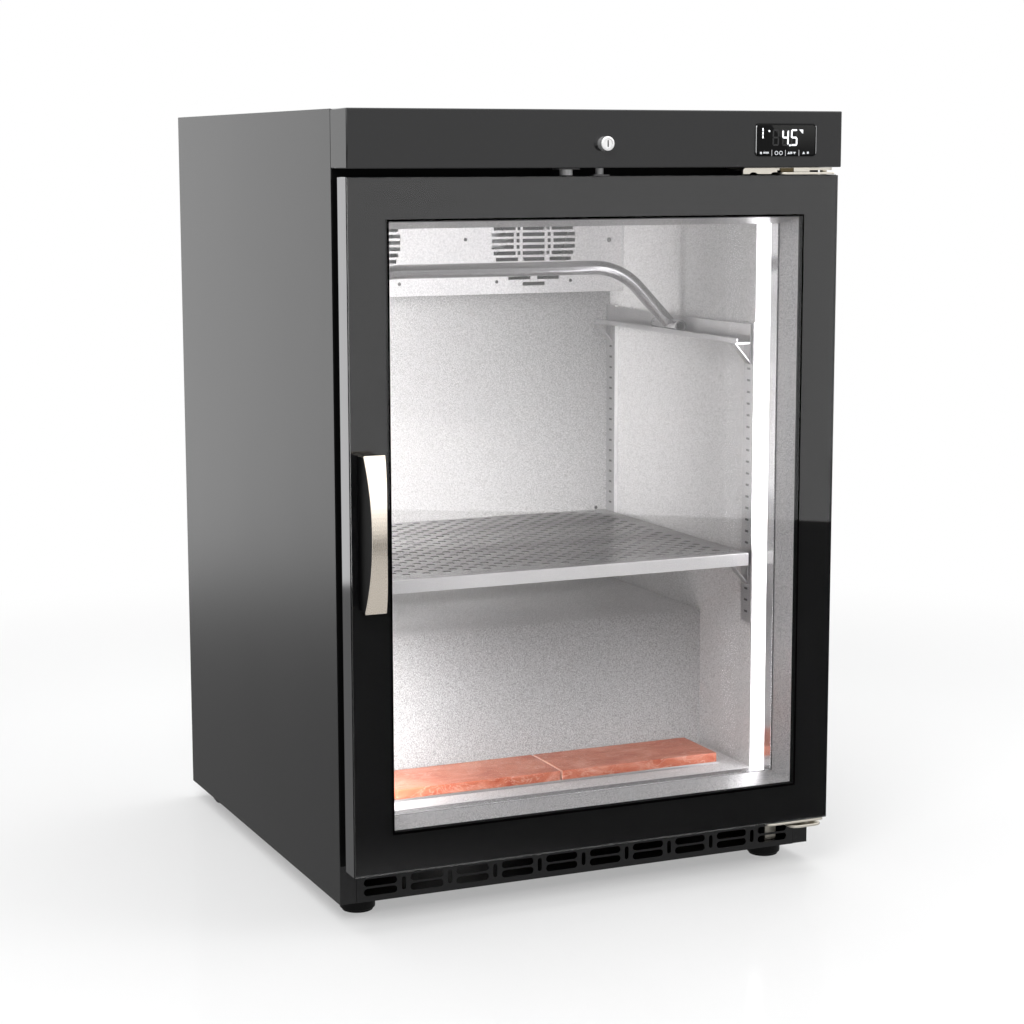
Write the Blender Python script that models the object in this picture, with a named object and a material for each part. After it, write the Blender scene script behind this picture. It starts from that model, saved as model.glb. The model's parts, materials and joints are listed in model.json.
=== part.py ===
# Undercounter dry aging cabinet with a glass door, as separate pieces.
# Metres. X runs to the right, Y to the rear, Z up. Z = 0 is the floor under the feet,
# X = 0 the middle of the body, Y = 0 halfway between the handle's front and the rear edge.

import math

import bmesh
import bpy
from mathutils import Matrix, Vector

# Fits shared by every piece
GAP = 0.0003            # air left between pieces that touch
RUN = 0.0006            # air round a pin, a stem or a tongue
OVERRUN = 0.002         # how far a cutter reaches past the face that it cuts
WELD = 0.0002           # how far joined shapes reach into each other
MERGE = 0.00001         # points closer than this become one
ROUND_SIDES = 16        # sides of a pin, a stem or a small hole
CORNER_STEPS = 3        # steps in a rounded corner
ROUND_END_SHARE = 0.999 # a slot's end radius as a share of half its height
SMOOTH_ANGLE = math.radians(40)

# Body
BODY_WIDTH = 0.595
BODY_HEIGHT = 0.8664    # without the feet
BODY_DEPTH = 0.5762     # behind the header
FASCIA_DEPTH = 0.0498   # the header and the closed door stand this far before the body
FOOT_HEIGHT = 0.0205
HANDLE_PROUD = 0.0445
CASING_SHEET = 0.001
PANEL_SHEET = 0.001
BACK_PANEL_INSET = 0.0005
PAN_SHEET = 0.0015

# Room for the food
SIDE_WALL = 0.0475      # casing, foam and liner
CEILING_WALL = 0.0889
REAR_WALL = 0.0510
RECESS_DEPTH = 0.0790   # niche behind the evaporator cover
RECESS_HEIGHT = 0.1275
FLOOR_WALL = 0.0404
STEP_FRONT = 0.238
STEP_TOP = 0.256
LINER_SHEET = 0.0008
FRONT_FRAME_THICKNESS = 0.003

# Machine bay and air path under the floor
AIR_PATH_TOP = 0.0443
BAY_WALL = 0.045
BAY_COVER_INSET = 0.0024
PAN_SIDE_FLANGE = 0.020
PAN_REAR_FLANGE = 0.012

# Plinth
POST_WIDTH = 0.019
POST_DEPTH = 0.0105
PLINTH_SHEET = 0.0015
PLINTH_GROUPS = 10
PLINTH_ENDS = 0.040     # both ends together, without slots
PLINTH_SLOT_SPACE = 0.0160
PLINTH_SLOT_HEIGHT = 0.0082
PLINTH_SLOT_SPACING = 0.0108
PLINTH_SLOT_CENTRE = 0.0160
PLINTH_BAR_WIDTH = 0.0050
PLINTH_BAR_HEIGHT = 0.0150
PLINTH_SLOT_STEPS = 2

# Feet
FOOT_RADIUS = 0.020
FOOT_SOLE_RADIUS = 0.0175
FOOT_SOLE_HEIGHT = 0.0025
FOOT_STEM_RADIUS = 0.004
FOOT_STEM_LENGTH = 0.014
FOOT_SIDE_INSET = 0.0355
FOOT_FRONT_DEPTH = 0.092
FOOT_REAR_INSET = 0.045

# Header
HEADER_HEIGHT = 0.0625
HEADER_SHEET = 0.0012
HEADER_EDGE = 0.0012

# Controller in the header
CONTROL_SIDE_INSET = 0.0735     # its centre from the side of the body
CONTROL_WIDTH = 0.0780
CONTROL_HEIGHT = 0.0365
CONTROL_DROP = 0.0322   # its centre below the header's top
CONTROL_RIM = 0.0018
CONTROL_PROUD = 0.0022
CONTROL_CORNER = 0.0050
CONTROL_LENS_THICKNESS = 0.0012
CONTROL_BODY_DEPTH = 0.040
CONTROL_BODY_INSET = 0.0035

# Lock
LOCK_X = -0.0018
LOCK_DROP = 0.0364      # its centre below the header's top
LOCK_RADIUS = 0.0078
LOCK_PROUD = 0.0105
LOCK_REACH = 0.0177
LOCK_PLUG_RADIUS = 0.0052
LOCK_PLUG_STEP = 0.0006
KEY_SLOT_WIDTH = 0.0014
KEY_SLOT_HEIGHT = 0.0070
KEY_SLOT_DEPTH = 0.0040
LOCK_PINION_THICKNESS = 0.0100
LOCK_TRAVEL = 0.0064
BOLT_RADIUS = 0.0045
BOLT_CLEAR = 0.0005
BOLT_SHANK = 0.0225
BOLT_RACK_WIDTH = 0.0024
BOLT_RACK_HEIGHT = 0.026
STRIKE_WIDTH = 0.019
STRIKE_DEPTH = 0.012
STRIKE_THICKNESS = 0.0006

# Door switch in the header
SWITCH_X = -0.0378
SWITCH_DEPTH = 0.020
SWITCH_FLANGE_WIDTH = 0.0246
SWITCH_FLANGE_DEPTH = 0.0185
SWITCH_FLANGE_THICKNESS = 0.0012
SWITCH_BARREL_RADIUS = 0.0084
SWITCH_BARREL_HEIGHT = 0.024
SWITCH_PLUNGER_RADIUS = 0.0070
SWITCH_PLUNGER_LENGTH = 0.019
SWITCH_BORE_DEPTH = 0.0222
SWITCH_CLEAR = 0.0005

# Door
DOOR_LEFT_INSET = 0.0001
DOOR_RIGHT_INSET = 0.0035
DOOR_TOP_SPACE = 0.0084     # under the header, for the hinge plates
DOOR_SINK = 0.0002      # the door ends this far below the frame it closes on
DOOR_DEPTH = 0.0298
DOOR_BORDER = 0.046
FRONT_PANE = 0.004
REAR_PANE = 0.004
PANE_INSET = 0.0006
SPACER_STEP = 0.009     # the silver frame stands this far inside the border
REAR_PANE_DEPTH = 0.037
DOOR_DAM_DEPTH = 0.057
DAM_OUTER_INSET = 0.004
DAM_HEEL_DEPTH = 0.033
PANE_GROOVE = 0.0025
GASKET_INSET = 0.008
GASKET_WIDTH = 0.0085
GASKET_SQUEEZE = 0.0005
GASKET_LIP = 0.0015

# Hinges
PIVOT_INSET = 0.0105    # from the door's hinge edge
PIVOT_DEPTH = 0.0155
PIN_RADIUS = 0.004
PIN_LENGTH = 0.0135
PIN_SOCKET = 0.0140
TOP_BRACKET_LENGTH = 0.1172
TOP_BRACKET_THICKNESS = 0.003
BRACKET_RIGHT_INSET = 0.0080
BRACKET_FRONT = 0.0030
TOP_LIP_LENGTH = 0.0435     # the bracket's front edge is turned down over this length
TOP_LIP_CLEAR = 0.0010      # above the door
TOP_LIP_CORNER = 0.0022
BRACKET_NOTCH_RADIUS = 0.0080
BRACKET_NOTCH_RISE = 0.0022
BRACKET_NOTCH_FIRST = 0.0133
BRACKET_NOTCH_PITCH = 0.0275
TOP_PLATE_LENGTH = 0.0700
LOW_PLATE_LENGTH = 0.0750
DOOR_PLATE_THICKNESS = 0.0025
DOOR_PLATE_RIGHT_INSET = 0.0030
DOOR_PLATE_FRONT = 0.0004
DOOR_PLATE_REAR = 0.0280
LOW_BRACKET_LENGTH = 0.0425
LOW_BRACKET_DROP = 0.0093   # its underside below the frame the door closes on
LOW_BRACKET_THICKNESS = 0.0030
LOW_BRACKET_TAIL = 0.0750
LOW_BRACKET_CORNER = 0.0100
PLATE_CORNER = 0.0050
LOW_BRACKET_LEG_INSET = 0.0040      # the plate's leg, from its left edge
LOW_BRACKET_LEG_WIDTH = 0.0150

# Handle
HANDLE_SIDE_INSET = 0.0076
HANDLE_WIDTH = 0.0240
HANDLE_WAIST = 0.0165
HANDLE_RAISE = 0.0027   # its middle above the door's middle
HANDLE_LENGTH = 0.1690
HANDLE_END_PROUD = 0.0205
HANDLE_WALL = 0.0030
HANDLE_COVER_SHEET = 0.0016
HANDLE_STEPS = 10

# Evaporator cover and its fans
COVER_DEPTH = 0.038
COVER_HEIGHT = 0.135
COVER_SHEET = 0.001
GRILLE_SHARE = 0.485    # place of each grille, as a share of the room's half width
GRILLE_DROP = 0.0677    # its middle below the ceiling
GRILLE_HALF_WIDTH = 0.0591
GRILLE_ROW_PITCH = 0.0079
GRILLE_SLOT_HEIGHT = 0.0048
GRILLE_SLOT_LENGTH = 0.0314
GRILLE_LOW_SLOT_GAP = 0.0090
# half width of each row of slots from the middle outwards, as shares of the widest row
GRILLE_ROW_SHARES = (1.0, 1.0, 0.953, 0.901, 0.820, 0.720)
FAN_RADIUS = 0.052
FAN_HUB_RADIUS = 0.018
FAN_HUB_LENGTH = 0.0165
FAN_BLADE_CHORD = 0.026
FAN_BLADE_THICKNESS = 0.0012
FAN_BLADE_COUNT = 5
FAN_BLADE_PITCH = math.radians(28)
FAN_CLEARANCE = 0.0065
CARRIER_SHEET = 0.002
CARRIER_HEIGHT = 0.020
CARRIER_SIDE_SPACE = 0.045
CARRIER_LEG = 0.010
FAN_MOTOR_LENGTH = 0.022
COIL_SIDE_SPACE = 0.060
COIL_BOTTOM_CLEAR = 0.0100
COIL_HEIGHT = 0.105
COIL_DEPTH = 0.054
COIL_FINS = 22
FIN_DEPTH_SHARE = 0.8
FIN_THICKNESS_SHARE = 0.55

# Slotted uprights, clips, rails, bar and shelf
UPRIGHT_DEPTH = 0.024
UPRIGHT_PROUD = 0.005
UPRIGHT_SHEET = 0.0009
UPRIGHT_LIFT = 0.0076   # above the step
UPRIGHT_DROP = 0.155    # below the ceiling
UPRIGHT_FRONT = 0.103
UPRIGHT_REAR_GAP = 0.0005
SLOT_PITCH = 0.0139
SLOT_FIRST = 0.0124
SLOT_WIDTH = 0.0048
SLOT_HEIGHT = 0.0021
CLIP_SLOT = 4           # slot that the shelf clips hook into, counted from the lowest
RAIL_SLOT_DOWN = 2      # slot that the rails hook into, counted from above the highest
CLIP_REACH = 0.0225
CLIP_HEIGHT = 0.0255
CLIP_STRAP = 0.0015
CLIP_WIDTH = 0.013
CLIP_OVER_SLOT = 0.0029
TONGUE_LENGTH = 0.0030
TONGUE_WIDTH = 0.0036
TONGUE_THICKNESS = 0.0013
RAIL_WIDTH = 0.0197
RAIL_SHEET = 0.0012
RAIL_LIP = 0.006
RAIL_FLANGE = 0.022
RAIL_FRONT = 0.109
RAIL_REAR_GAP = 0.007
BAR_RADIUS = 0.0085
BAR_DROP = 0.0955       # its middle line below the ceiling
BAR_FROM_REAR = 0.201   # from the room's rear wall
BAR_BEND_RADIUS = 0.085
BAR_SLOPE = math.radians(46)
BAR_BEND_STEPS = 6
BAR_SIDES = 14
BAR_FOOT_RADIUS = 0.0083
BAR_FOOT_BORE = 0.0055
BAR_FOOT_FRONT = 0.027
BAR_FOOT_REAR = 0.038
BAR_FOOT_BORE_DEPTH = 0.012
SHELF_SIDE_GAP = 0.0115
SHELF_FRONT = 0.098
SHELF_REAR_GAP = 0.008
SHELF_LIP = 0.015
SHELF_SHEET = 0.0012
SHELF_HOLE_RADIUS = 0.0055
SHELF_HOLE_PITCH = 0.0497
SHELF_HOLE_SIDES = 6
SHELF_HOLE_EDGE = 0.0272

# Lamps
LAMP_FRONT = 0.0585
LAMP_WIDTH = 0.0435
LAMP_PROUD = 0.0048
LAMP_DROP = 0.0375      # its top below the ceiling
LAMP_CHAMFER = 0.0016

# Salt blocks on their tray
TRAY_SIDE_GAP = 0.028
TRAY_DEPTH = 0.090
TRAY_STEP_GAP = 0.013
TRAY_SHEET = 0.0010
TRAY_RIM = 0.0028
BLOCK_SIDE_SPACE = 0.014
BLOCK_PLAY = 0.0035
BLOCK_HEIGHT = 0.0126
BLOCK_EDGE = 0.0012
BLOCK_SPLIT_X = 0.0110
BLOCK_SPACE = 0.0016

# Machine
COMPRESSOR_SIDE_SPACE = 0.1675  # from the side of the body to its middle
COMPRESSOR_REAR_SPACE = 0.156
COMPRESSOR_RADIUS = 0.075
COMPRESSOR_WALL_HEIGHT = 0.095
COMPRESSOR_DOME_HEIGHT = 0.045
COMPRESSOR_FOOT_LENGTH = 0.190
COMPRESSOR_FOOT_DEPTH = 0.110
COMPRESSOR_FOOT_SHEET = 0.003
COMPRESSOR_LIFT = 0.012
GROMMET_RADIUS = 0.010
COMPRESSOR_STEPS = 20
COMPRESSOR_DOME_RINGS = 4
CONDENSER_SPACE = 0.150         # from the compressor's middle
CONDENSER_SIDE_SPACE = 0.0325
CONDENSER_FRONT_SPACE = 0.017
CONDENSER_DEPTH = 0.045
CONDENSER_TOP_SPACE = 0.036
CONDENSER_FINS = 14
BAY_FAN_RADIUS = 0.068
BAY_FAN_HUB_RADIUS = 0.020
BAY_FAN_HUB_LENGTH = 0.018
BAY_FAN_GAP = 0.010
BAY_MOTOR_RADIUS = 0.026
BAY_MOTOR_LENGTH = 0.035
BAY_BRACKET_SHEET = 0.002
BAY_BRACKET_HEIGHT = 0.016
LINE_RADIUS = 0.004
LINE_CHANNEL = 0.018
LINE_COIL_INSET = 0.030 # from the coil's end
LINE_RISE = 0.020       # the line leaves the recess this far above its bottom
LINE_BAY_DROP = 0.026
LINE_BEND_STEPS = 4
LINE_SIDES = 8
LINE_BEND_RADIUS = 0.012
BAY_GRILLE_ROWS = 9
BAY_GRILLE_COLUMNS = 4
BAY_GRILLE_ENDS = 0.095
BAY_GRILLE_SPACE = 0.025
BAY_GRILLE_SLOT_HEIGHT = 0.005
BAY_GRILLE_PITCH = 0.015
INLET_SIDE_INSET = 0.0295
INLET_DROP = 0.035      # below the bay's top
INLET_WIDTH = 0.030
INLET_HEIGHT = 0.024
INLET_DEPTH = 0.026
INLET_FLANGE = 0.0015
INLET_LIP = 0.0030
INLET_WALL = 0.0030
INLET_PIN = 0.0022
INLET_PIN_SPACING = 0.0065
INLET_BOTTOM = 0.004

# Places across the width
HALF = BODY_WIDTH / 2
INSIDE = HALF - CASING_SHEET
ROOM_HALF_WIDTH = HALF - SIDE_WALL
DOOR_LEFT = -HALF + DOOR_LEFT_INSET
DOOR_RIGHT = HALF - DOOR_RIGHT_INSET
PIVOT_X = DOOR_RIGHT - PIVOT_INSET
HANDLE_LEFT = DOOR_LEFT + HANDLE_SIDE_INSET
BRACKET_RIGHT = HALF - BRACKET_RIGHT_INSET
TOP_BRACKET_LEFT = BRACKET_RIGHT - TOP_BRACKET_LENGTH
LOW_BRACKET_LEFT = BRACKET_RIGHT - LOW_BRACKET_LENGTH
CONTROL_CENTRE_X = HALF - CONTROL_SIDE_INSET
FOOT_SPREAD = HALF - FOOT_SIDE_INSET
PLINTH_GROUP_PITCH = (BODY_WIDTH - PLINTH_ENDS) / PLINTH_GROUPS
PLINTH_SLOT_LENGTH = PLINTH_GROUP_PITCH - PLINTH_SLOT_SPACE
BAY_GRILLE_COLUMN_PITCH = (BODY_WIDTH - BAY_GRILLE_ENDS) / BAY_GRILLE_COLUMNS
BAY_GRILLE_SLOT = BAY_GRILLE_COLUMN_PITCH - BAY_GRILLE_SPACE
INLET_X = HALF - INLET_SIDE_INSET
GRILLE_X = ROOM_HALF_WIDTH * GRILLE_SHARE
CARRIER_HALF_LENGTH = ROOM_HALF_WIDTH - CARRIER_SIDE_SPACE
COIL_HALF_LENGTH = ROOM_HALF_WIDTH - COIL_SIDE_SPACE
LINE_X = COIL_HALF_LENGTH - LINE_COIL_INSET
SHELF_HALF_WIDTH = ROOM_HALF_WIDTH - SHELF_SIDE_GAP
TRAY_HALF_WIDTH = ROOM_HALF_WIDTH - TRAY_SIDE_GAP
BLOCK_LENGTH = TRAY_HALF_WIDTH - BLOCK_SIDE_SPACE
UPRIGHT_FACE = ROOM_HALF_WIDTH - GAP - UPRIGHT_PROUD
COMPRESSOR_X = -HALF + COMPRESSOR_SIDE_SPACE
CONDENSER_LEFT = COMPRESSOR_X + CONDENSER_SPACE
CONDENSER_LENGTH = HALF - CONDENSER_SIDE_SPACE - CONDENSER_LEFT
BOLT_X = LOCK_X + LOCK_TRAVEL / (math.pi / 2) + GAP + BOLT_RACK_WIDTH / 2

# Places along the depth, the first of them measured from the door's face
WHOLE_DEPTH = FASCIA_DEPTH + BODY_DEPTH
RECESS_BACK = WHOLE_DEPTH - REAR_WALL
ROOM_BACK = RECESS_BACK - RECESS_DEPTH
BAY_FRONT = STEP_FRONT + BAY_WALL
COVER_FRONT = ROOM_BACK - COVER_DEPTH
RAIL_REAR = ROOM_BACK - RAIL_REAR_GAP
SHELF_REAR = ROOM_BACK - SHELF_REAR_GAP
BAR_DEPTH = ROOM_BACK - BAR_FROM_REAR
TRAY_FRONT = STEP_FRONT - TRAY_STEP_GAP - TRAY_DEPTH
BLOCK_DEPTH = TRAY_DEPTH - 2 * TRAY_SHEET - BLOCK_PLAY
COMPRESSOR_DEPTH = WHOLE_DEPTH - COMPRESSOR_REAR_SPACE
CONDENSER_FRONT = BAY_FRONT + CONDENSER_FRONT_SPACE
FRONT = HANDLE_PROUD - (HANDLE_PROUD + WHOLE_DEPTH) / 2
BODY_FRONT = FRONT + FASCIA_DEPTH
BODY_REAR = BODY_FRONT + BODY_DEPTH
PIVOT_Y = FRONT + PIVOT_DEPTH
BACK_PANEL_REAR = BODY_REAR - BACK_PANEL_INSET
BACK_PANEL_FRONT = BACK_PANEL_REAR - PANEL_SHEET
BAY_COVER_REAR = BODY_REAR - BAY_COVER_INSET
BAY_COVER_FRONT = BAY_COVER_REAR - PANEL_SHEET
BOLT_Y = FRONT + LOCK_REACH + GAP + LOCK_PINION_THICKNESS / 2

# Places up the height, the first of them measured from the body's underside
ROOM_FLOOR = AIR_PATH_TOP + FLOOR_WALL
ROOM_CEILING = BODY_HEIGHT - CEILING_WALL
RECESS_BOTTOM = ROOM_CEILING - RECESS_HEIGHT
BAY_TOP = STEP_TOP - BAY_WALL
DOOR_BOTTOM = AIR_PATH_TOP - DOOR_SINK
DOOR_TOP = BODY_HEIGHT - HEADER_HEIGHT - DOOR_TOP_SPACE
LOW_BRACKET_BOTTOM = AIR_PATH_TOP - LOW_BRACKET_DROP
HANDLE_BOTTOM = (DOOR_BOTTOM + DOOR_TOP - HANDLE_LENGTH) / 2 + HANDLE_RAISE
COVER_BOTTOM = ROOM_CEILING - COVER_HEIGHT
GRILLE_Z = ROOM_CEILING - GRILLE_DROP
UPRIGHT_BOTTOM = STEP_TOP + UPRIGHT_LIFT
UPRIGHT_TOP = ROOM_CEILING - UPRIGHT_DROP
SLOT_COUNT = int((UPRIGHT_TOP - UPRIGHT_BOTTOM - SLOT_FIRST) / SLOT_PITCH) + 1
RAIL_SLOT = SLOT_COUNT - RAIL_SLOT_DOWN
BAR_HEIGHT = ROOM_CEILING - BAR_DROP
LAMP_TOP = ROOM_CEILING - LAMP_DROP
LINE_BAY_TURN = BAY_TOP - LINE_BAY_DROP
CONDENSER_HEIGHT = BAY_TOP - CONDENSER_TOP_SPACE
INLET_Z = BAY_TOP - INLET_DROP
UNDER = FOOT_HEIGHT
BODY_TOP = UNDER + BODY_HEIGHT
HEADER_BOTTOM = BODY_TOP - HEADER_HEIGHT
PAN_TOP = UNDER + GAP + PAN_SHEET
LOCK_Z = BODY_TOP - LOCK_DROP
STRIKE_TOP = UNDER + DOOR_TOP + GAP + STRIKE_THICKNESS

# Colour, roughness, metallic, alpha
LOOKS = {
    "black_paint": ((0.035, 0.035, 0.037), 0.30, 0.0, 1.0),
    "black_plastic": ((0.012, 0.012, 0.013), 0.45, 0.0, 1.0),
    "black_rubber": ((0.010, 0.010, 0.010), 0.75, 0.0, 1.0),
    "brushed_steel": ((0.58, 0.58, 0.57), 0.34, 1.0, 1.0),
    "chrome": ((0.80, 0.80, 0.78), 0.12, 1.0, 1.0),
    "zinc": ((0.74, 0.69, 0.58), 0.40, 0.6, 1.0),
    "embossed_liner": ((0.62, 0.62, 0.61), 0.50, 0.3, 1.0),
    "silver_frame": ((0.55, 0.56, 0.56), 0.35, 0.7, 1.0),
    "glass": ((0.90, 0.93, 0.92), 0.03, 0.0, 0.25),
    "lamp_lens": ((0.95, 0.95, 0.93), 0.40, 0.0, 1.0),
    "foam": ((0.80, 0.70, 0.45), 0.90, 0.0, 1.0),
    "salt": ((0.80, 0.30, 0.18), 0.55, 0.0, 1.0),
    "copper": ((0.72, 0.38, 0.22), 0.30, 1.0, 1.0),
    "fin_metal": ((0.70, 0.71, 0.72), 0.40, 1.0, 1.0),
    "galvanised": ((0.55, 0.57, 0.58), 0.45, 0.8, 1.0),
    "screen": ((0.010, 0.010, 0.012), 0.10, 0.0, 1.0),
    "cutter": ((1.0, 0.2, 0.2), 0.80, 0.0, 1.0),
}


def clear_scene():
    for item in list(bpy.data.objects):
        bpy.data.objects.remove(item, do_unlink=True)


def get_material(look):
    found = bpy.data.materials.get(look)
    if found:
        return found
    colour, roughness, metallic, alpha = LOOKS[look]
    made = bpy.data.materials.new(look)
    made.use_nodes = True
    shader = made.node_tree.nodes["Principled BSDF"]
    shader.inputs["Base Color"].default_value = (*colour, 1)
    shader.inputs["Roughness"].default_value = roughness
    shader.inputs["Metallic"].default_value = metallic
    shader.inputs["Alpha"].default_value = alpha
    made.diffuse_color = (*colour, 1)
    return made


def make(name, shape, look, origin=(0, 0, 0), smooth=False):
    bmesh.ops.recalc_face_normals(shape, faces=shape.faces)
    bmesh.ops.translate(shape, verts=shape.verts, vec=-Vector(origin))
    mesh = bpy.data.meshes.new(name)
    shape.to_mesh(mesh)
    shape.free()
    mesh.materials.append(get_material(look))
    if smooth:
        mesh.shade_smooth()
        mesh.set_sharp_from_angle(angle=SMOOTH_ANGLE)
    piece = bpy.data.objects.new(name, mesh)
    piece.location = origin
    bpy.context.scene.collection.objects.link(piece)
    return piece


def combine(piece, name, shape, operation):
    tool = make(name, shape, "cutter", origin=piece.location)
    tool.parent = piece
    tool.location = (0, 0, 0)
    tool.hide_render = True
    tool.display_type = "WIRE"
    boolean = piece.modifiers.new(name, "BOOLEAN")
    boolean.operation = operation
    boolean.solver = "EXACT"
    boolean.object = tool


def cut(piece, shape, name="cut"):
    combine(piece, piece.name + "_" + name, shape, "DIFFERENCE")


def join(piece, shape, name="add"):
    combine(piece, piece.name + "_" + name, shape, "UNION")


def add_pivot(name, place):
    pivot = bpy.data.objects.new(name, None)
    pivot.location = place
    bpy.context.scene.collection.objects.link(pivot)
    return pivot


def hang(piece, pivot):
    piece.parent = pivot
    piece.location = piece.location - pivot.location


def block(shape, low, high):
    size = [b - a for a, b in zip(low, high)]
    middle = Vector([(a + b) / 2 for a, b in zip(low, high)])
    bmesh.ops.create_cube(shape, size=1, matrix=Matrix.Translation(middle) @ Matrix.Diagonal((*size, 1)))


# Turns that lay an upright shape along X or Y
TURNS = {
    "X": Matrix.Rotation(math.pi / 2, 4, "Y"),
    "Y": Matrix.Rotation(-math.pi / 2, 4, "X"),
    "Z": Matrix.Identity(4),
}


def rod(shape, start, length, radius, axis="Z", sides=ROUND_SIDES, end_radius=None):
    turn = TURNS[axis]
    middle = Vector(start) + turn @ Vector((0, 0, length / 2))
    bmesh.ops.create_cone(
        shape, cap_ends=True, segments=sides, depth=length,
        radius1=radius, radius2=radius if end_radius is None else end_radius,
        matrix=Matrix.Translation(middle) @ turn)


def prism(shape, outline, axis, low, high):
    # the outline holds (y, z) for axis X, (x, z) for axis Y and (x, y) for axis Z
    where = "XYZ".index(axis)
    corners = []
    for first, second in outline:
        place = [first, second]
        place.insert(where, low)
        corners.append(shape.verts.new(place))
    base = shape.faces.new(corners)
    grown = bmesh.ops.extrude_face_region(shape, geom=[base])
    tips = [item for item in grown["geom"] if isinstance(item, bmesh.types.BMVert)]
    step = [0, 0, 0]
    step[where] = high - low
    bmesh.ops.translate(shape, verts=tips, vec=step)


def mitred_frame(shape, left, right, bottom, top, profile):
    # the profile holds (inset from the outer edge, place along Y), going once round the section
    rings = []
    for inset, place in profile:
        corners = (
            (left + inset, bottom + inset), (right - inset, bottom + inset),
            (right - inset, top - inset), (left + inset, top - inset))
        rings.append([shape.verts.new((x, place, z)) for x, z in corners])
    for near, far in zip(rings, rings[1:] + rings[:1]):
        for here in range(len(near)):
            there = (here + 1) % len(near)
            shape.faces.new((near[here], near[there], far[there], far[here]))


def rounded(left, right, low, high, radius, steps=CORNER_STEPS):
    centres = (
        (right - radius, high - radius, 0), (left + radius, high - radius, 1),
        (left + radius, low + radius, 2), (right - radius, low + radius, 3))
    points = []
    for x, y, quarter in centres:
        for step in range(steps + 1):
            angle = (quarter + step / steps) * math.pi / 2
            points.append((x + radius * math.cos(angle), y + radius * math.sin(angle)))
    return points


def slot_outline(x, z, length, height):
    radius = min(length, height) / 2 * ROUND_END_SHARE
    return rounded(x - length / 2, x + length / 2, z - height / 2, z + height / 2, radius, PLINTH_SLOT_STEPS)


def ngon(x, y, radius, sides):
    turn = 2 * math.pi / sides
    return [(x + radius * math.cos(turn * k), y + radius * math.sin(turn * k)) for k in range(sides)]


def tube(shape, path, radius, sides):
    points = [Vector(point) for point in path]
    rings = []
    side = None
    for here, point in enumerate(points):
        ahead = points[min(here + 1, len(points) - 1)]
        behind = points[max(here - 1, 0)]
        along = (ahead - behind).normalized()
        if side is None:
            side = along.orthogonal().normalized()
        side = (side - along * side.dot(along)).normalized()
        up = along.cross(side)
        ring = []
        for k in range(sides):
            angle = 2 * math.pi * k / sides
            ring.append(shape.verts.new(point + radius * (math.cos(angle) * side + math.sin(angle) * up)))
        rings.append(ring)
    for near, far in zip(rings, rings[1:]):
        for k in range(sides):
            after = (k + 1) % sides
            shape.faces.new((near[k], near[after], far[after], far[k]))
    shape.faces.new(rings[0])
    shape.faces.new(rings[-1])


def lathe(shape, profile, centre, steps, axis="Z"):
    # the profile holds (radius, height) and starts and ends on the axis
    verts = [shape.verts.new((radius, 0, height)) for radius, height in profile]
    edges = [shape.edges.new(pair) for pair in zip(verts, verts[1:])]
    bmesh.ops.spin(shape, geom=verts + edges, cent=(0, 0, 0), axis=(0, 0, 1), angle=2 * math.pi,
                   steps=steps, use_merge=True, use_duplicate=False)
    bmesh.ops.remove_doubles(shape, verts=shape.verts, dist=MERGE)
    bmesh.ops.transform(shape, matrix=Matrix.Translation(centre) @ TURNS[axis], verts=shape.verts)


def add_casing():
    shape = bmesh.new()
    prism(shape, [
        (-HALF, UNDER), (-INSIDE, UNDER), (-INSIDE, BODY_TOP - CASING_SHEET),
        (INSIDE, BODY_TOP - CASING_SHEET), (INSIDE, UNDER), (HALF, UNDER),
        (HALF, BODY_TOP), (-HALF, BODY_TOP)], "Y", BODY_FRONT, BODY_REAR)
    casing = make("outer_casing", shape, "black_paint")
    posts = bmesh.new()
    right_top = UNDER + LOW_BRACKET_BOTTOM - GAP
    for side, top in ((-1, UNDER + AIR_PATH_TOP - GAP), (1, right_top)):
        ends = sorted((side * (INSIDE + WELD), side * (HALF - POST_WIDTH)))
        block(posts, (ends[0], BODY_FRONT + WELD, UNDER + WELD), (ends[1], BODY_FRONT + POST_DEPTH, top))
    join(casing, posts, "posts")


def add_back_panel():
    shape = bmesh.new()
    edge = INSIDE - GAP
    block(shape, (-edge, BACK_PANEL_FRONT, UNDER + BAY_TOP + GAP),
          (edge, BACK_PANEL_REAR, BODY_TOP - CASING_SHEET - GAP))
    make("back_panel", shape, "galvanised")


def bay_grille_places():
    first = -BAY_GRILLE_COLUMN_PITCH * (BAY_GRILLE_COLUMNS - 1) / 2
    for column in range(BAY_GRILLE_COLUMNS):
        for row in range(BAY_GRILLE_ROWS):
            height = BAY_TOP / 2 + BAY_GRILLE_PITCH * (row - (BAY_GRILLE_ROWS - 1) / 2)
            yield first + column * BAY_GRILLE_COLUMN_PITCH, UNDER + height


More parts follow.
